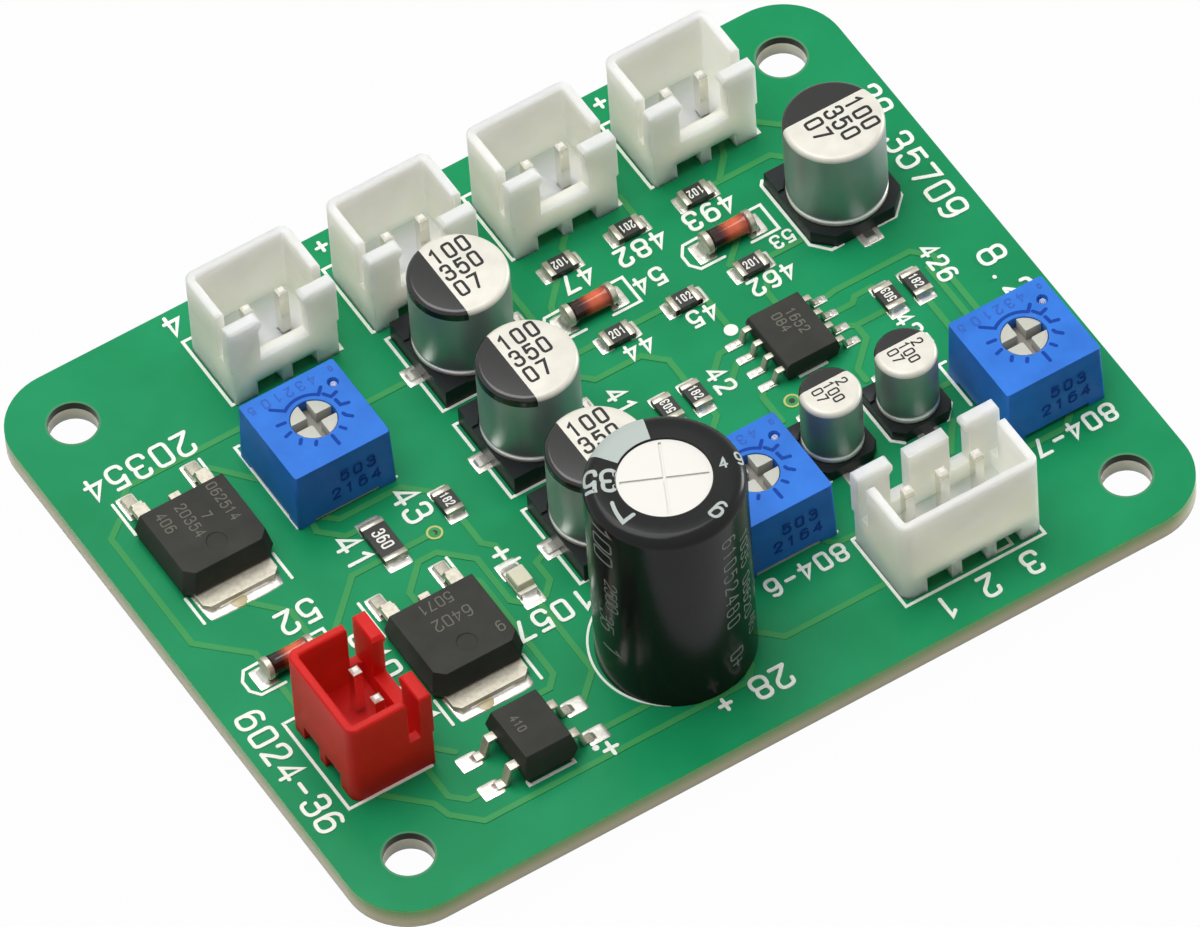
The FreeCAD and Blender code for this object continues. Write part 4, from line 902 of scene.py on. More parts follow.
# %% Tracks on the underside
UNDER_TRACKS = [
    [(-14.2, 17.6), (-14.2, 21.5), (21.0, 21.5), (21.0, 18.6), (18.69, 17.6)],
    [(-11.7, 17.6), (-11.7, 13.0), (-14.93, 9.72)],
    [(-4.07, 17.6), (-4.07, 14.0), (-1.0, 11.0), (-1.0, 2.0), (5.22, -4.2), (5.22, -8.93)],
    [(6.06, 17.6), (6.06, 12.0), (11.85, 6.2), (11.85, -3.5), (14.3, -6.0), (14.3, -17.08)],
    [(16.19, 17.6), (16.19, 10.0), (24.46, 1.7), (24.46, -9.2)],
    [(-17.47, 7.18), (-20.0, 4.6), (-20.0, -6.5), (-23.08, -9.8)],
    [(-11.7, 0.1), (-11.7, -6.0), (-3.81, -12.6)],
    [(-23.08, -12.3), (-19.0, -16.4), (-6.5, -16.4), (-3.81, -17.6)],
    [(16.8, -17.08), (19.3, -14.6), (21.92, -11.74)],
    [(11.8, -17.08), (9.5, -14.8), (7.76, -11.47)],
]
UNDER_WIDTH = 0.9
make_piece("underside_tracks", layered(UNDER_TRACKS, UNDER_WIDTH, -TRACK_RISE, SUNK), track_mask)

# %% [markdown]
# ## Legend
# White ink printed through a screen, about 0.02 mm thick, over the tracks. Its lines box in the
# parts, mark the plus side and number the places. It could be a picture on the board; as bands
# it stays crisp however close one looks. The figures here are plain running numbers.

# %% Legend lines
LEGEND_LOW, LEGEND_HIGH = TOP - 0.005, TOP + TRACK_RISE + 0.02
LINE, RING_LINE, TEXT_STROKE = 0.2, 0.15, 0.25
THICKEST = 0.16  # the most that a stroke is of its figure's height
LINE_STEP = 2.0
HEADER_BOX = [(-3.35, -2.17), (-3.95, -2.17), (-3.95, 3.75), (3.95, 3.75), (3.95, -2.17),
              (3.35, -2.17)]
outlines = [[(x + dx, METERS_Y + dy) for dx, dy in HEADER_BOX] for x in METERS_X]
outlines += [
    [(9.17, -14.6), (9.17, -20.75), (19.2, -20.75), (19.2, -14.6), (9.17, -14.6)],
    [(15.6, -20.3), (17.1, -20.3), (17.1, -19.4)],
    [(-21.1, -7.2), (-26.97, -7.2), (-26.97, -14.9), (-21.1, -14.9)],
    [(-27.0, 12.92), (-27.0, 10.17)], [(-27.0, 4.25), (-27.0, 2.0)],
    [(-20.75, 13.0), (-20.75, 11.5)], [(-20.75, 4.25), (-20.75, 2.0)],
    [(-18.2, 12.5), (-18.47, 12.5), (-18.47, 5.08), (-11.4, 5.08)],
    [(21.3, -6.2), (20.8, -6.2), (20.8, -9.9)], [(22.1, -13.58), (27.5, -13.58)],
    [(1.6, -13.55), (8.75, -13.55)],
    [(-6.1, 14.5), (-6.38, 14.5), (-6.38, 11.8)], [(-6.38, 10.35), (-6.38, 7.78), (-2.5, 7.78)],
    [(-6.1, 6.5), (-6.38, 6.5), (-6.38, 4.17)], [(-6.38, 2.33), (-6.38, -0.25), (-2.5, -0.25)],
    [(-6.1, -1.47), (-6.38, -1.47), (-6.38, -4.0)], [(-6.38, -5.67), (-6.38, -8.2), (-2.5, -8.2)],
    [(19.5, 12.1), (19.25, 11.8), (19.25, 6.17), (20.17, 5.08), (21.0, 5.08)],
    [(23.6, 5.08), (24.85, 5.08), (26.08, 6.33), (26.08, 11.9)],
    [(15.2, -5.8), (15.2, -9.5), (15.83, -10.12)], [(19.87, -6.0), (19.87, -9.1), (19.0, -10.12)],
    [(14.33, -6.0), (14.33, -9.0), (13.5, -10.0)], [(9.8, -6.0), (9.8, -9.4), (10.5, -10.12)],
    [(-18.42, -1.95), (-18.42, -5.0)], [(-18.42, -10.83), (-18.42, -13.0)],
    [(-12.12, -1.95), (-12.12, -4.2)], [(-12.12, -10.83), (-12.12, -13.0)],
    [(-16.97, -19.15), (-16.97, -19.48), (-13.78, -19.48), (-13.78, -19.15)],
    [(13.3, -2.05), (13.3, -2.17), (15.2, -2.17), (15.2, -2.05)],
    [(-9.95, -4.45), (-8.42, -4.45)],
]
DIODE_BOX = [[(-0.9, 1.15), (-2.6, 1.1), (-3.08, 0.4), (-3.08, -0.45), (-2.6, -1.08),
              (-0.9, -1.08)],
             [(1.9, 1.15), (3.08, 1.15), (3.08, -1.08), (1.1, -1.08)]]
outlines += [[(x + dx, y + dy) for dx, dy in half] for x, y in DIODES for half in DIODE_BOX]
print("legend lines:", len(outlines))

# %% Legend figures and the whole legend
# each row is text, centre x, centre y, height and the angle it is turned through
NOTES = [
    ("20354", -24.08, 14.52, 1.87, 180), ("4", -16.67, 22.78, 1.75, 180),
    ("41", -16.58, 1.6, 1.8, -90), ("43", -11.75, 2.75, 1.83, -90),
    ("52", -21.97, -0.75, 1.83, 180), ("640281", -19.55, -8.0, 1.75, -90),
    ("6024-36", -28.5, -10.46, 1.83, -90), ("+", -5.9, 22.95, 1.35, 0),
    ("+", 14.4, 22.95, 1.35, 0), ("1057", -9.05, -9.33, 1.67, 180),
    ("28", -0.67, -21.02, 1.8, 180), ("804-6", 5.62, -15.03, 1.42, 180),
    ("804-7", 25.03, -15.1, 1.45, 180), ("3", 17.37, -22.2, 1.75, 180),
    ("2", 14.25, -22.2, 1.75, 180), ("1", 11.2, -22.2, 1.75, 180),
    ("47", 5.92, 11.83, 1.5, 180), ("482", 10.47, 11.75, 1.5, 180),
    ("493", 15.5, 11.78, 1.5, 180), ("54", 9.58, 9.3, 1.42, 180),
    ("53", 18.12, 7.47, 1.05, 180), ("44", 6.25, 5.17, 1.35, 180),
    ("45", 10.87, 5.17, 1.35, 180), ("462", 15.92, 5.18, 1.37, 180),
    ("41", 3.12, 2.38, 1.42, -90), ("42", 9.05, 0.3, 1.38, -90),
    ("426", 25.08, 0.58, 1.33, -90), ("427", 20.95, -3.0, 1.25, -90),
    ("35709", 28.17, 6.83, 1.88, -90), ("8.2", 28.17, -2.35, 1.88, -90),
    ("+", -3.92, -20.91, 1.5, 0), ("+", -9.2, -3.53, 1.75, 0),
    ("+", -11.42, -19.83, 1.7, 0), ("29", 28.7, 13.6, 1.6, -90),
]
circle = np.radians(np.linspace(0, 360, 97))
RING_AT, RING_R = (-3.98, -14.79), 5.09  # the ring round the tall capacitor
tall_ring = np.array(RING_AT) + RING_R * np.stack([np.cos(circle), np.sin(circle)], 1)
ink = layered([resampled(o, LINE_STEP) for o in outlines], LINE, LEGEND_LOW, LEGEND_HIGH)
ink += layered([tall_ring], RING_LINE, LEGEND_LOW, LEGEND_HIGH)
for text, x, y, tall, angle in NOTES:
    stroke = min(TEXT_STROKE, THICKEST * tall)
    ink += layered(figure_paths(text, (x, y), tall, stroke, angle), stroke, LEGEND_LOW,
                   LEGEND_HIGH + 3 * LAYERS * LIFT)
for x, y, r in [(11.67, 3.25, 0.45), (-12.17, -19.3, 0.22)]:
    ink.append(turned(washer(0, r, TOP, LEGEND_HIGH), (x, y), RING_STEPS))
make_piece("board_legend", ink, legend_ink)

# %% [markdown]
# ## Softened solids
# A moulded part has no knife edges. They could be rounded in CAD, but a tool's tenth of a
# millimetre costs thousands of faces there. Where a CAD solid is right but too sharp, a copy of
# it is merged, its flat faces are joined, and a Bevel modifier rounds its edges before it is
# applied. Long edges can be rounder than the short ones of a small detail. A second modifier
# turns the shading normals towards the larger faces, so that flat faces stay flat to the edge.

# %% Softened copies of CAD solids
LONG_EDGE = 1.9                  # millimetres
FLAT_WITHIN, KEEN_OVER = 0.5, 30  # degrees
FACE_WEIGHT = 100                # of a hundred: large faces win


def softened(node, width, material, body=BODY, steps=2, fine=1.0):
    """Copy of a CAD node with its edges rounded to a width in mm; it stands for the node.

    Edges shorter than LONG_EDGE take the width times fine.
    """
    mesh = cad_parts[node].data.copy()
    mesh.name = node + "_soft"
    work = bmesh.new()
    work.from_mesh(mesh)
    bmesh.ops.remove_doubles(work, verts=work.verts, dist=SLIVER)
    bmesh.ops.dissolve_limit(work, angle_limit=math.radians(FLAT_WITHIN), verts=work.verts,
                             edges=work.edges)
    work.to_mesh(mesh)
    work.free()
    if "custom_normal" in mesh.attributes:
        mesh.attributes.remove(mesh.attributes["custom_normal"])
    mesh.polygons.foreach_set("use_smooth", [True] * len(mesh.polygons))
    mesh.set_sharp_from_angle(angle=math.radians(KEEN_OVER))
    points, ends = np.empty(3 * len(mesh.vertices)), np.empty(2 * len(mesh.edges), np.int32)
    mesh.vertices.foreach_get("co", points)
    mesh.edges.foreach_get("vertices", ends)
    keen = np.zeros(len(mesh.edges), bool)
    mesh.attributes["sharp_edge"].data.foreach_get("value", keen)
    span = np.diff(points.reshape(-1, 3)[ends.reshape(-1, 2)], axis=1)[:, 0]
    length = np.linalg.norm(span, axis=1) / MM
    weight = (keen * np.where(length > LONG_EDGE, 1.0, fine)).astype(np.float32)
    mesh.attributes.new("bevel_weight_edge", "FLOAT", "EDGE").data.foreach_set("value", weight)
    mesh.attributes.remove(mesh.attributes["sharp_edge"])
    rough = bpy.data.objects.new(node + "_rough", mesh)
    bpy.context.scene.collection.objects.link(rough)
    bevel = rough.modifiers.new("edges", "BEVEL")
    bevel.width, bevel.segments, bevel.limit_method = width * MM, steps, "WEIGHT"
    rough.modifiers.new("flat faces", "WEIGHTED_NORMAL").weight = FACE_WEIGHT
    evaluated = rough.evaluated_get(bpy.context.evaluated_depsgraph_get())
    soft = bpy.data.meshes.new_from_object(evaluated)
    bpy.data.objects.remove(rough)
    return dress(bpy.data.objects.new(node + "_soft", soft), material, body, (node,), 0)


print("softening ready")

# %% [markdown]
# The width follows the mould: 0.2 mm on the walls of a header and a quarter of that on its slits
# and lips, less on the trimmers, and only a few hundredths on what is stamped or sawn.

# %% Headers and trimmers
for i in range(1, 5):
    softened("meter_header_%d_housing" % i, 0.2, nylon_white, steps=3, fine=0.25)
softened("signal_header_housing", 0.2, nylon_white, steps=3, fine=0.25)
softened("power_header_housing", 0.2, nylon_red, steps=3, fine=0.25)
for i in range(1, 4):
    softened("trimmer_%d_housing" % i, 0.07, trimmer_blue)
    softened("trimmer_%d_rotor" % i, 0.06, rotor_cream,
             "trimmer_%d_adjuster" % i)

# %% Bases, packages, leads and chips
BASES = ["output_capacitor_1_base", "output_capacitor_2_base", "output_capacitor_3_base",
         "filter_capacitor_base", "coupling_capacitor_1_base", "coupling_capacitor_2_base"]
PACKAGES = ["regulator_1_body", "regulator_2_body", "bridge_body", "amplifier_body"]
STAMPED = ["regulator_1_frame", "regulator_2_frame", "bridge_leads", "amplifier_leads"]
for nodes, width, material, slot, steps in [
        (BASES, 0.08, base_black, "base_black", 2),
        (PACKAGES, 0.05, package_black, "package_black", 2),
        (STAMPED, 0.04, tin, "tinned_lead", 2),
        (["resistor_slabs"], 0.02, chip_coat, "resistor_slab", 1),
        (["resistor_ends"], 0.03, tin, "tinned_lead", 1),
        (["indicator_base"], 0.03, lamp_base, "indicator_board", 1),
        (["indicator_lens"], 0.06, lamp_lens, "indicator_lens", 2)]:
    for node in nodes:
        softened(node, width, material, steps=steps)

# %% [markdown]
# ## Aluminium cans
# Each can is drawn from coated sheet, so its side is a dull blue-grey metal with fine upright
# lines. Its foot is curled in over the rubber and polished bright by the roller, with a neck
# above. The top is a cream lacquer and a segment of it is printed black; the ink runs a little
# way down over the rim. The borders could be separate pieces, but lacquer has no edge to speak
# of. So a UV map holds, in millimetres, the distance from the middle towards the plus side and
# the height above the foot, and the material reads every border from that.

# %% Can material
COATING, SATIN, SHEEN = "#9da7a6", 0.42, 0.75
FOOT_RING, LACQUER_DROP = 0.42, 0.33
# real draw lines are finer; 0.12 mm apart they just show, and they are fifty times as tall
DRAW_LINE, DRAW_STRETCH, DRAW_DEPTH, DRAW_RELIEF = 0.12, 0.02, 0.004, 0.3
WORN_PATCH, INK_SMOOTH = 1.2, 0.2


def can_material(name, ink_edge, tall, ink_drop):
    """Coated aluminium, in millimetres of the UV map.

    It is bare below FOOT_RING, cream above tall less LACQUER_DROP, and black where u is below
    the ink's edge and v above tall less the ink's drop. Each layer covers the one before.
    """
    material, tree, shader = finish(name, COATING, SATIN, Metallic=SHEEN)
    where = add(tree, COORDINATES).outputs["Object"]
    uv = add(tree, SPLIT, Vector=add(tree, "ShaderNodeUVMap", {"uv_map": "along"})).outputs
    foot = add(tree, MATH, BELOW, i0=uv["Y"], i1=FOOT_RING)
    lid = add(tree, MATH, ABOVE, i0=uv["Y"], i1=tall - LACQUER_DROP)
    ink = add(tree, MATH, TIMES, i0=add(tree, MATH, BELOW, i0=uv["X"], i1=ink_edge),
              i1=add(tree, MATH, ABOVE, i0=uv["Y"], i1=tall - ink_drop))
    patches = add(tree, NOISE, Vector=where, Scale=1 / (WORN_PATCH * MM), Detail=4.0)
    worn = add(tree, RAMP, stops=[(0.3, "#cfccc1"), (0.7, "#dbd8ce")], Fac=patches)
    colour, metallic = linear(COATING), SHEEN
    # each row is where, its colour, and how metallic it is
    for area, tint, bright in [(foot, linear("#e6e2da"), 0.45), (lid, worn, 0.1),
                               (ink, linear("#1a1918"), 0.0)]:
        mix = add(tree, MIX, OF_COLOURS, i0=area, i6=colour, i7=tint)
        level = add(tree, MIX, OF_NUMBERS, i0=area, i2=metallic, i3=bright)
        colour, metallic = mix.outputs[MIXED], level.outputs[0]
    gloss = add(tree, MIX, OF_NUMBERS, i0=ink, i2=SATIN, i3=INK_SMOOTH)
    squash = add(tree, "ShaderNodeMapping", Vector=where, Scale=(1, 1, DRAW_STRETCH))
    lines = add(tree, NOISE, Vector=squash, Scale=1 / (DRAW_LINE * MM), Detail=2.0)
    bump = add(tree, "ShaderNodeBump", Strength=DRAW_RELIEF, Distance=DRAW_DEPTH * MM,
               Height=lines)
    for value, goes_to in [(colour, "Base Color"), (metallic, "Metallic"),
                           (gloss.outputs[0], "Roughness"), (bump.outputs[0], "Normal")]:
        tree.links.new(value, shader.inputs[goes_to])
    return material


print("can finish ready")

# %% [markdown]
# The outline of a can is a line of arcs and straights: curl, neck, side, rounded rim, top, and
# the hollow inside. Turned about the axis it is the can. The figures on top are black bands.

# %% Can outline and cans
RIM_R, FOOT_R, CURL_R, CURL, NECK_RISE, NECK = 0.35, 0.12, 0.14, 0.4, 0.25, 0.12
WALL, LID_WALL = 0.37, 0.25
CAN_STEPS = 96
CAN_INK = 0.006  # the ink stands up by this much
CLOSE, NARROW = 0.78, 0.6  # step and breadth of the printed figures, as parts of the height


def can_profile(radius, foot, top):
    """Outline of a can: curled foot, neck, side, rounded rim, top, and the hollow inside."""
    inner, curled = radius - WALL, foot + CURL
    points = [(inner, foot)] + arc(radius - FOOT_R, foot + FOOT_R, FOOT_R, -90, 0, 4)
    points += arc(radius - CURL_R, curled - CURL_R, CURL_R, 0, 60, 4)
    points += arc(radius, curled + NECK_RISE / 2, NECK, 250, 110, 6)
    points += [(radius, curled + NECK_RISE + 0.1)]
    points += arc(radius - RIM_R, top - RIM_R, RIM_R, 0, 90, 8)
    return points + [(0, top), (0, top - LID_WALL), (inner, top - LID_WALL)]


def add_can(name, at, radius, plate, top, ink_edge, ink_drop, rows, tall, stroke):
    """Can with its printed rows of figures; rows are (text, across, up) on the top.

    Plate and top are the heights of its foot and of its top over the board. The UV map is the
    distance towards the plus side and the height over the foot.
    """
    x, y, turn = at
    centre, a = np.array([x, y]), math.radians(turn)
    east = np.array([math.cos(a), math.sin(a)])
    north = np.array([-east[1], east[0]])
    profile = can_profile(radius, TOP + plate, TOP + top)
    material = can_material(name + "_coated_aluminium", ink_edge, top - plate, ink_drop)
    make_piece(name + "_drawn", [turned(profile, centre, CAN_STEPS)], material,
               replaces=(name,),
               uv=lambda v: np.stack([(v[:, :2] - centre) @ east, v[:, 2] - TOP - plate], 1))
    prints = []
    for text, across, up in rows:
        spot = centre + east * across + north * up
        paths = figure_paths(text, spot, tall, stroke, turn, CLOSE, NARROW)
        prints += layered(paths, stroke, TOP + top - SUNK, TOP + top + CAN_INK)
    make_piece(name + "_figures", prints, can_ink)


LARGE_ROWS = [("100", 0.48, 1.8), ("350", 0.48, 0.35), ("07", 0.08, -1.15)]
SMALL_ROWS = [("2", -0.2, 0.95), ("100", 0.22, 0.12), ("07", 0.0, -0.72)]
LARGE_NAMES = ["output_capacitor_1_can", "output_capacitor_2_can", "output_capacitor_3_can",
               "filter_capacitor_can"]
SMALL_NAMES = ["coupling_capacitor_1_can", "coupling_capacitor_2_can"]
for name, at, plate in zip(LARGE_NAMES, LARGE_CANS, (1.4, 1.4, 1.4, 1.1)):
    add_can(name, at, radius=3.2, plate=plate, top=7.7, ink_edge=-1.08, ink_drop=0.75,
            rows=LARGE_ROWS, tall=1.25, stroke=0.19)
for name, at in zip(SMALL_NAMES, SMALL_CANS):
    add_can(name, at, radius=1.95, plate=0.9, top=5.75, ink_edge=-0.75, ink_drop=0.55,
            rows=SMALL_ROWS, tall=0.76, stroke=0.11)

# %% [markdown]
# ## The tall capacitor's sleeve
# A can in a sleeve of black heat-shrink film. The film rolls over the rim and leaves the middle
# of the top open, where the aluminium is scored to burst safely. A cloth simulation could shrink
# the film on; since film follows a round can exactly, turning its outline gives the same shape.

# %% Sleeve
TALL_R, TALL_TOP, OPENING, RIM = 5.0, TOP + 16.375, 2.925, 0.8
FILM, SLEEVE_STEPS = 0.15, 128
outer = [(TALL_R, TOP), (TALL_R - 0.02, TOP + 2.0)]
outer += arc(TALL_R - RIM, TALL_TOP - RIM, RIM, 0, 86, 14)
outer += [(3.6, TALL_TOP - 0.01), (OPENING + 0.07, TALL_TOP - 0.03), (OPENING, TALL_TOP - 0.1)]
inner = [(OPENING, TALL_TOP - FILM), (TALL_R - RIM, TALL_TOP - FILM),
         (TALL_R - 0.35, TALL_TOP - 0.5), (TALL_R - FILM, TALL_TOP - RIM), (TALL_R - FILM, TOP)]
make_piece("reservoir_film", [turned(outer + inner, TALL_AT, SLEEVE_STEPS)], sleeve_black,
           replaces=("reservoir_sleeve",))

# %% [markdown]
# ## Ink on the sleeve
# Grey ink on the film: a stripe over the minus lead and rows of figures, printed while the film
# was still flat. So they are made flat too, and then laid on the sleeve: one way along its
# outline, from the side over the rim to the opening, the other way round it. A Shrinkwrap
# modifier could do that, but it would pull strokes out of shape at the rim.

# %% Laying flat shapes on the sleeve
outline = np.array(outer)
along = np.concatenate([[0], np.cumsum(np.linalg.norm(np.diff(outline, axis=0), axis=1))])
RIM_START = along[2]
STRIPE_SHORT = 0.14  # the stripe ends this far before the film does
TO_OPENING = along[-1] - RIM_START - STRIPE_SHORT
NARROWEST = 3.3  # radius within which figures keep their angle, so that they don't spread
PRINT_UNDER, PRINT_OVER = -0.03, 0.02
BEND_STEP, STRIPE_GRID = 0.2, (60, 16)  # fine enough to follow the sleeve


def wrapped(x, y, lift, azimuth):
    """Flat (x, y) laid on the sleeve: x goes round it from an azimuth, y up its outline.

    The flat y is a length along the sleeve's outline, measured from where the rim begins; the
    radius and height there come from that outline, x turns the point by x over the radius, and
    the lift follows the outline's normal, which leans over by 90 degrees along the rim.
    """
    r = np.interp(y + RIM_START, along, outline[:, 0])
    z = np.interp(y + RIM_START, along, outline[:, 1])
    a = math.radians(azimuth) + x / np.maximum(r, NARROWEST)
    lean = np.clip(y / (RIM * math.pi / 2), 0, 1) * math.pi / 2
    r, z = r + lift * np.cos(lean), z + lift * np.sin(lean)
    return np.stack([TALL_AT[0] + r * np.cos(a), TALL_AT[1] + r * np.sin(a), z], -1)


def on_sleeve(text, azimuth, up, height, stroke, pitch=0.7):
    """Figures round a point at an azimuth and a length up the outline, reading downwards."""
    parts = []
    for path in figure_paths(text, (0, up), height, stroke, -90, pitch, NARROW):
        flat, faces = band(resampled(path, BEND_STEP), stroke, PRINT_UNDER, PRINT_OVER)
        parts.append((wrapped(flat[:, 0], flat[:, 1], flat[:, 2], azimuth), faces))
    return parts


def stripe(azimuth, half_width, low, high):
    """Stripe of a half width in radians round an azimuth, between two lengths up the outline.

    Flat, it reaches the half width times the radius to either side of its middle.
    """
    y, s = np.meshgrid(np.linspace(low, high, STRIPE_GRID[0]),
                       np.linspace(-1, 1, STRIPE_GRID[1]), indexing="ij")
    x = s * half_width * np.maximum(np.interp(y + RIM_START, along, outline[:, 0]), NARROWEST)
    return skin(wrapped(x, y, PRINT_OVER, azimuth), wrapped(x, y, PRINT_UNDER, azimuth))


print("from the rim to the opening is", round(TO_OPENING, 2), "mm of film")

# %% Stripe and figures
# each row is text, azimuth, length up the outline, height, stroke and, for some, pitch
BOLD = [("35", 151, 1.5, 1.7, 0.26, 0.68), ("7", 191, 1.7, 1.8, 0.26), ("6", 289.5, 1.3, 1.3, 0.19),
        ("9", 345, 0.7, 1.0, 0.15), ("4", 343, 1.8, 0.85, 0.13)]
THIN = [("100", 187, -1.5, 1.8, 0.14), ("2508", 193, -6.4, 1.05, 0.09),
        ("35", 186, -9.4, 1.3, 0.1), ("1", 189, -12.0, 1.6, 0.1),
        ("61052480", 287, -5.5, 1.15, 0.1, 0.99), ("1035 08620", 305, -6.4, 1.0, 0.09, 0.85),
        ("0+", 288, -13.2, 1.2, 0.11), ("46", 311, -11.8, 1.2, 0.1)]
bold = [stripe(azimuth=100, half_width=0.455, low=-14.0, high=TO_OPENING)]
bold += [p for row in BOLD for p in on_sleeve(*row)]
make_piece("reservoir_print", bold, sleeve_ink)
# the figures on the upright side take the darker copy of the grey ink: painted shade
make_piece("reservoir_side_print", [p for row in THIN for p in on_sleeve(*row)], shaded_side_ink)

# %% [markdown]
# ## Diodes
# A glass tube melted on to two plugs, with the coppery wires showing through, dark at the marked
# end. Clear glass with wires modelled inside would need many bounces of light for a tube 3.5 mm
# long. A ramp along the tube gives what the eye sees through it, and a clear coat the glass's
# own shine. The tube is turned upright and then laid down; its UV map gives the length along it.

# %% Glass
glass, tree, shader = finish("orange_red_glass", "#a84022", 0.12, (0.35, 0.01, 0.3),
                             Specular_IOR_Level=0.3, Coat_Weight=0.3, Coat_Roughness=0.04)
uv = add(tree, SPLIT, Vector=add(tree, "ShaderNodeUVMap", {"uv_map": "along"}))
inside = add(tree, RAMP, stops=[(0.0, "#20100c"), (0.25, "#33140c"), (0.36, "#7c2a16"),
                                (0.5, "#cc5a36"), (0.72, "#d96540"), (1.0, "#8d3018")], Fac=uv)
tree.links.new(inside.outputs[0], shader.inputs["Base Color"])
print("glass ready")

# %% Tubes and plugs
AXIS_HEIGHT, TUBE_HALF, TUBE_R, WAIST, BEAD = 0.75, 1.3, 0.68, 0.035, 0.02
PLUG_R, TUBE_STEPS = 0.6, 40


def lying(profile, at, facing=1):
    """Profile turned about an axis along x: (r, l) goes to (l, r cos a, r sin a)."""
    upright, faces = turned(profile, (0, 0), TUBE_STEPS)
    x, y, z = facing * upright[:, 2] + at[0], upright[:, 0] + at[1], upright[:, 1]
    return np.stack([x, y, z + TOP + AXIS_HEIGHT], 1), faces


def tube_uv(v):
    """Length along the nearest tube, from 0 at its marked end to 1."""
    middles = np.array(DIODES)[:, 0]
    nearest = middles[np.abs(v[:, 0, None] - middles).argmin(1)]
    return np.stack([(v[:, 0] - nearest) / (2 * TUBE_HALF) + 0.5, v[:, 1] * 0], 1)


tube = [(0, -TUBE_HALF), (PLUG_R, -TUBE_HALF), (TUBE_R + BEAD, -TUBE_HALF + 0.1)]
tube += [(TUBE_R - WAIST * math.cos(t) ** 2, TUBE_HALF * 0.85 * math.sin(t))
         for t in np.linspace(-1.4, 1.4, 9)]
tube += [(TUBE_R + BEAD, TUBE_HALF - 0.1), (PLUG_R, TUBE_HALF), (0, TUBE_HALF)]
plug = [(0, 1.28), (PLUG_R, 1.28), (0.75, 1.36)] + arc(0.67, 1.67, 0.08, 0, 90, 3) + [(0, 1.75)]
make_piece("diode_tubes", [lying(tube, at) for at in DIODES], glass,
           replaces=("diode_glass",), uv=tube_uv)
make_piece("diode_cups", [lying(plug, at, s) for at in DIODES for s in SIDES], tin,
           replaces=("diode_caps",))

# %% [markdown]
# ## Figures on resistors and packages
# White figures are printed on the resistors' glaze; a laser burns faint ones into the black
# packages. Both are bands a hundredth of a millimetre high, so they stay sharp at any distance
# and need no picture.

# %% Figures on the resistors
FIGURE_RISE, CHIP_TOP = 0.012, TOP + 0.56
# each row is text, place, height, stroke, angle, pitch and breadth
VALUES = [("201" if i % 2 else "102", at, 0.62, 0.09, 180 if i < 3 else 0, 0.6, 0.46)
          for i, at in enumerate(CHIPS_X)]
VALUES += [("503" if i % 2 else "182", at, 0.62, 0.09, 90 if i % 2 else -90, 0.6, 0.46)
           for i, at in enumerate(CHIPS_Y)]
VALUES += [("360", LONG_CHIP, 0.85, 0.12, -90, 0.64, 0.5)]
marks = [p for row in VALUES
         for p in layered(figure_paths(*row), row[3], CHIP_TOP, CHIP_TOP + FIGURE_RISE)]
make_piece("resistor_figures", marks, chip_ink)

# %% Figures on the packages
FLAT_PACK, SMALL_PACK, BRIDGE_PACK = 2.3, 1.55, 2.6  # heights of their tops over the board
LASER_LINE, LASER_RISE = 0.09, 0.006
marks = []
for text, x, y, tall, angle, top in [
        ("406", -25.75, 8.35, 0.75, -90, FLAT_PACK), ("20354", -24.4, 7.7, 0.75, -90, FLAT_PACK),
        ("7", -23.35, 7.5, 0.7, -90, FLAT_PACK), ("062514", -21.95, 7.85, 0.72, -90, FLAT_PACK),
        ("5071", -15.3, -6.1, 0.8, 180, FLAT_PACK), ("6402", -15.0, -7.6, 0.9, 180, FLAT_PACK),
        ("9", -12.9, -9.7, 0.8, 180, FLAT_PACK), ("084", 14.0, 1.0, 0.7, -90, SMALL_PACK),
        ("1652", 14.9, 0.6, 0.7, -90, SMALL_PACK), ("410", -16.0, -16.8, 0.6, -90, BRIDGE_PACK)]:
    paths = figure_paths(text, (x, y), tall, LASER_LINE, angle, CLOSE, NARROW)
    marks += layered(paths, LASER_LINE, TOP + top, TOP + top + LASER_RISE)
make_piece("package_marks", marks, package_mark)

# %% [markdown]
# ## Trimmer dials
# The mould leaves an engraved arc with an arrow and ticks round the rotor, small figures beside
# it, a number on the near wall, and a white pip where the plastic was let in. Grooves this fine
# are cheaper as dark bands than as cuts, and look the same: an engraved line is a thin shadow.

# %% Trimmer dials
ARC_R = 1.88
swing = np.radians(np.linspace(128, 50, 21))
sweep = ARC_R * np.stack([np.cos(swing), np.sin(swing)], 1)
DIAL = [
    np.vstack([[(-1.88, 2.07)], sweep, [(1.62, 1.87)]]),
    [(1.47, 1.32), (1.77, 0.87), (2.22, 1.02)], [(1.87, 0.52), (1.92, 0.02), (2.42, -0.11)],
    [(1.72, -0.63), (1.77, -0.83), (2.07, -1.13)], [(1.02, -1.43), (1.22, -1.73)],
    [(0.27, -1.73), (0.3, -2.48)], [(-0.78, -1.58), (-0.93, -1.78)],
    [(-1.48, -0.93), (-1.68, -1.18)], [(-1.73, -0.11), (-2.13, -0.23)],
    [(-1.63, 0.72), (-2.13, 0.77)],
]
DIAL_TOP = TOP + 4.9
DIAL_LINE, FIGURE_LINE, WALL_LINE = 0.24, 0.11, 0.12
DIAL_PITCH, WALL_PITCH, DIAL_BREADTH, WALL_TALL = 1.1, 1.0, 0.65, 0.95
PIP_AT = (2.46, 1.72)
CUT, PROUD = 0.02, 0.004  # how far a band goes below a surface and stands above it
PIP = [(0, -0.5), (0.24, -0.5), (0.22, -0.15), (0.16, -0.06), (0, -0.04)]
dial, embossed, pips = [], [], []
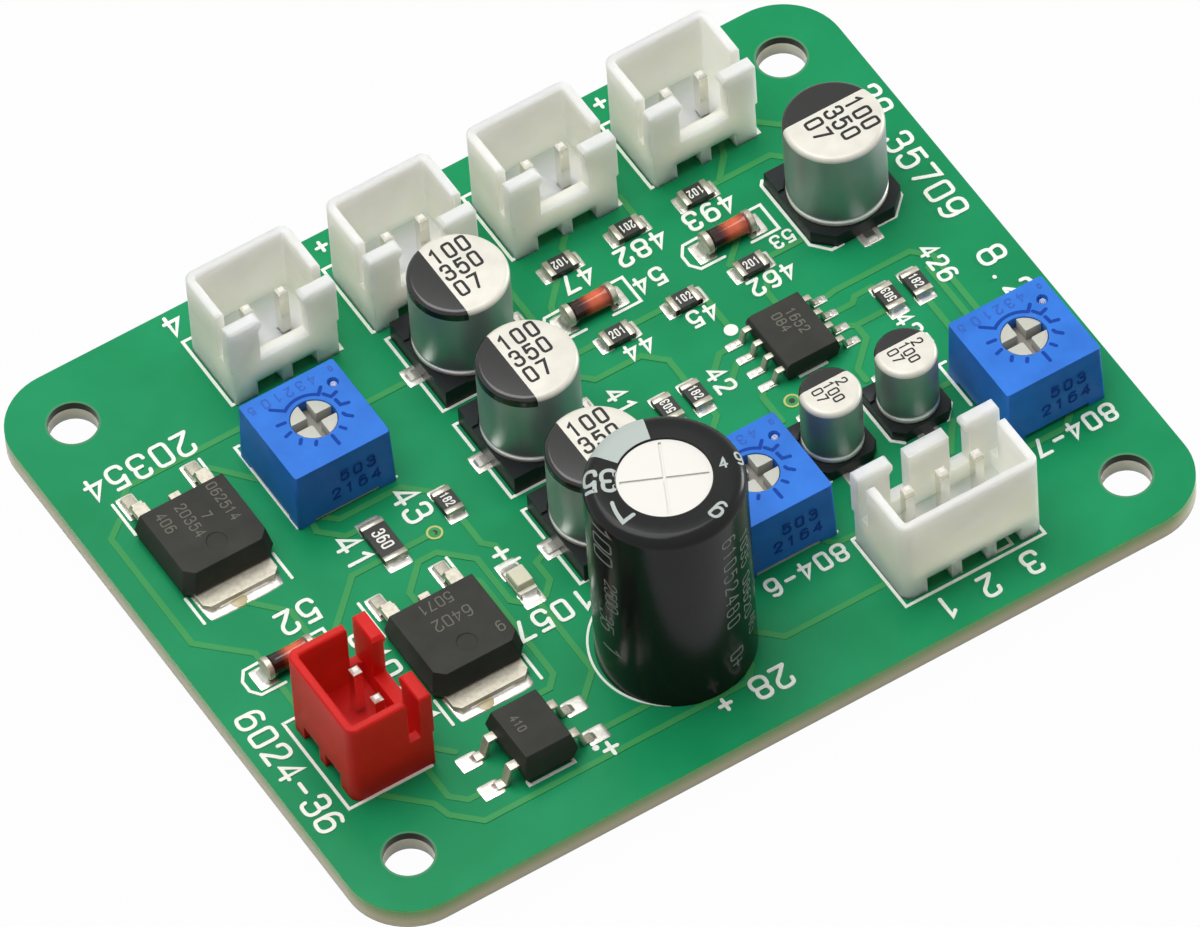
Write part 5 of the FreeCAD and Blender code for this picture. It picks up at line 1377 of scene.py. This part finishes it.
for i, at in enumerate(TRIMMERS, 1):
    dial += layered([np.asarray(d) + at for d in DIAL], DIAL_LINE, DIAL_TOP - CUT,
                    DIAL_TOP + PROUD)
    for text, x, y, tall in [("43210", -0.2, 2.62, 0.75), ("5", -2.85, 2.6, 0.65),
                             ("0", 2.85, 2.75, 0.45)]:
        paths = figure_paths(text, (at[0] + x, at[1] + y), tall, FIGURE_LINE, 180, DIAL_PITCH,
                             DIAL_BREADTH)
        embossed += layered(paths, FIGURE_LINE, DIAL_TOP - CUT, DIAL_TOP + PROUD)
    pips.append(turned([(r, DIAL_TOP + z) for r, z in PIP],
                       (at[0] + PIP_AT[0], at[1] + PIP_AT[1]), DOT_STEPS))
    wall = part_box("trimmer_%d_housing" % i)[0].y / MM
    for text, x, z in [("503", 0.9, 3.1), ("2164", 0.7, 1.7)]:
        for path in figure_paths(text, (at[0] + x, TOP + z), WALL_TALL, WALL_LINE, 0,
                                 WALL_PITCH, DIAL_BREADTH):
            flat, faces = band(path, WALL_LINE, -CUT, PROUD)
            dial.append((np.stack([flat[:, 0], wall - flat[:, 2], flat[:, 1]], 1), faces))
make_piece("trimmer_dials", dial, scale_blue)
make_piece("trimmer_figures", embossed, faint_blue)
make_piece("trimmer_pips", pips, nylon_white)

# %% [markdown]
# ## Finishes for the solids that stay
# The remaining CAD solids are right as they are: the board, the pins, the solder cones and all
# that is hidden inside. They keep their meshes, and each takes the finish that its slot names.

# %% Assign finishes by slot
BY_SLOT = {
    "board_laminate": laminate, "solder": solder, "tinned_lead": pin_tin,
    "can_aluminium": scored_aluminium, "bung_rubber": rubber, "ceramic": ceramic,
    "epoxy": epoxy, "spring_alloy": spring, "winding_foil": winding, "base_black": base_black,
    "trimmer_blue": trimmer_blue, "trimmer_rotor": rotor_cream, "package_black": package_black,
    "resistor_slab": chip_coat, "header_white": nylon_white, "header_red": nylon_red,
    "sleeve_black": sleeve_black, "diode_glass": glass, "indicator_board": lamp_base,
    "indicator_lens": lamp_lens,
}
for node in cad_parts.values():
    node.data.materials[0] = BY_SLOT[node.data.materials[0].name]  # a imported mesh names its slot
print("nodes given a finish:", len(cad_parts))

# %% [markdown]
# ## Floor and background
# A pale floor holds the shadow. Floor and background are white because rays that come from the
# camera, from a mirror or through glass see them as white, so that metal and glass show the same
# white room. More light could turn them white as well, but it would bleach the object too.

# %% Floor
WHITE = "#ffffff"
FLOOR_SHARE = 0.98  # the rest is the floor's own grey, which takes the shadow
REACH = 2000.0


def seen_directly(tree):
    """1 for rays that come from the camera, from a mirror or through glass, else 0."""
    ray = add(tree, "ShaderNodeLightPath").outputs
    first = add(tree, MATH, LARGER, i0=ray["Is Camera Ray"], i1=ray["Is Glossy Ray"])
    return add(tree, MATH, LARGER, i0=first, i1=ray["Is Transmission Ray"]).outputs[0]


floor_material, tree, shader = finish("pale_floor", "#9a9a98", 0.8)
white = add(tree, "ShaderNodeEmission", Color=linear(WHITE), Strength=1.0)
amount = add(tree, MATH, TIMES, i0=seen_directly(tree), i1=FLOOR_SHARE)
mixed = add(tree, "ShaderNodeMixShader", i0=amount, i1=shader, i2=white)
tree.links.new(mixed.outputs[0], tree.nodes["Material Output"].inputs["Surface"])
corners = [(-REACH, -REACH), (REACH, -REACH), (REACH, REACH), (-REACH, REACH)]
floor_mesh = bpy.data.meshes.new("floor")
floor_mesh.from_pydata([(x * MM, y * MM, FLOOR * MM) for x, y in corners], [], [(0, 1, 2, 3)])
floor_mesh.materials.append(floor_material)
floor = bpy.data.objects.new("floor", floor_mesh)
bpy.context.scene.collection.objects.link(floor)
print("floor at", round(FLOOR, 2), "mm")

# %% World
ROOM, ROOM_LIGHT = "#f6f3ec", 0.27
world = bpy.data.worlds.new("studio")
bpy.context.scene.world = world
world.use_nodes = True
tree = world.node_tree
tree.nodes.clear()
room = add(tree, "ShaderNodeBackground", Color=linear(ROOM), Strength=ROOM_LIGHT)
plain = add(tree, "ShaderNodeBackground", Color=linear(WHITE), Strength=1.0)
mixed = add(tree, "ShaderNodeMixShader", i0=seen_directly(tree), i1=room, i2=plain)
add(tree, "ShaderNodeOutputWorld", Surface=mixed)
print("room light", ROOM_LIGHT)

# %% [markdown]
# ## Lamps
# Two softboxes: a large one overhead and a little behind, which lights the tops and lets the near
# sides fall darker, and a small low one to the right, which lights the walls that face it. One
# lamp could light the board, but then every wall turned away from it would be the same grey.


# %% Lamps
def lamp(name, at, size, power):
    """Rectangular softbox aimed at the middle of the board; sizes in metres, power in watts."""
    light = bpy.data.lights.new(name, "AREA")
    light.shape, light.size, light.size_y, light.energy = "RECTANGLE", size[0], size[1], power
    box = bpy.data.objects.new(name, light)
    aim = -Vector(at)
    turn = aim.to_track_quat("-Z", "Y").to_matrix().to_4x4()
    box.matrix_world = Matrix.Translation(at) @ turn
    bpy.context.scene.collection.objects.link(box)


lamp("overhead", (-0.05, 0.08, 0.4), (0.36, 0.32), 1.8)
lamp("right", (0.6, 0.02, 0.13), (0.2, 0.2), 1.8)
bpy.context.scene.view_settings.view_transform = "Standard"
print("lamps ready")

# %% [markdown]
# ## Size
# Films and prints add a few hundredths of a millimetre to the dressed board. The dressed board
# still has to fit the box of its CAD model.

# %% The box of the CAD model
print("CAD box", [tuple(round(v / MM, 2) for v in c) for c in cad_box])
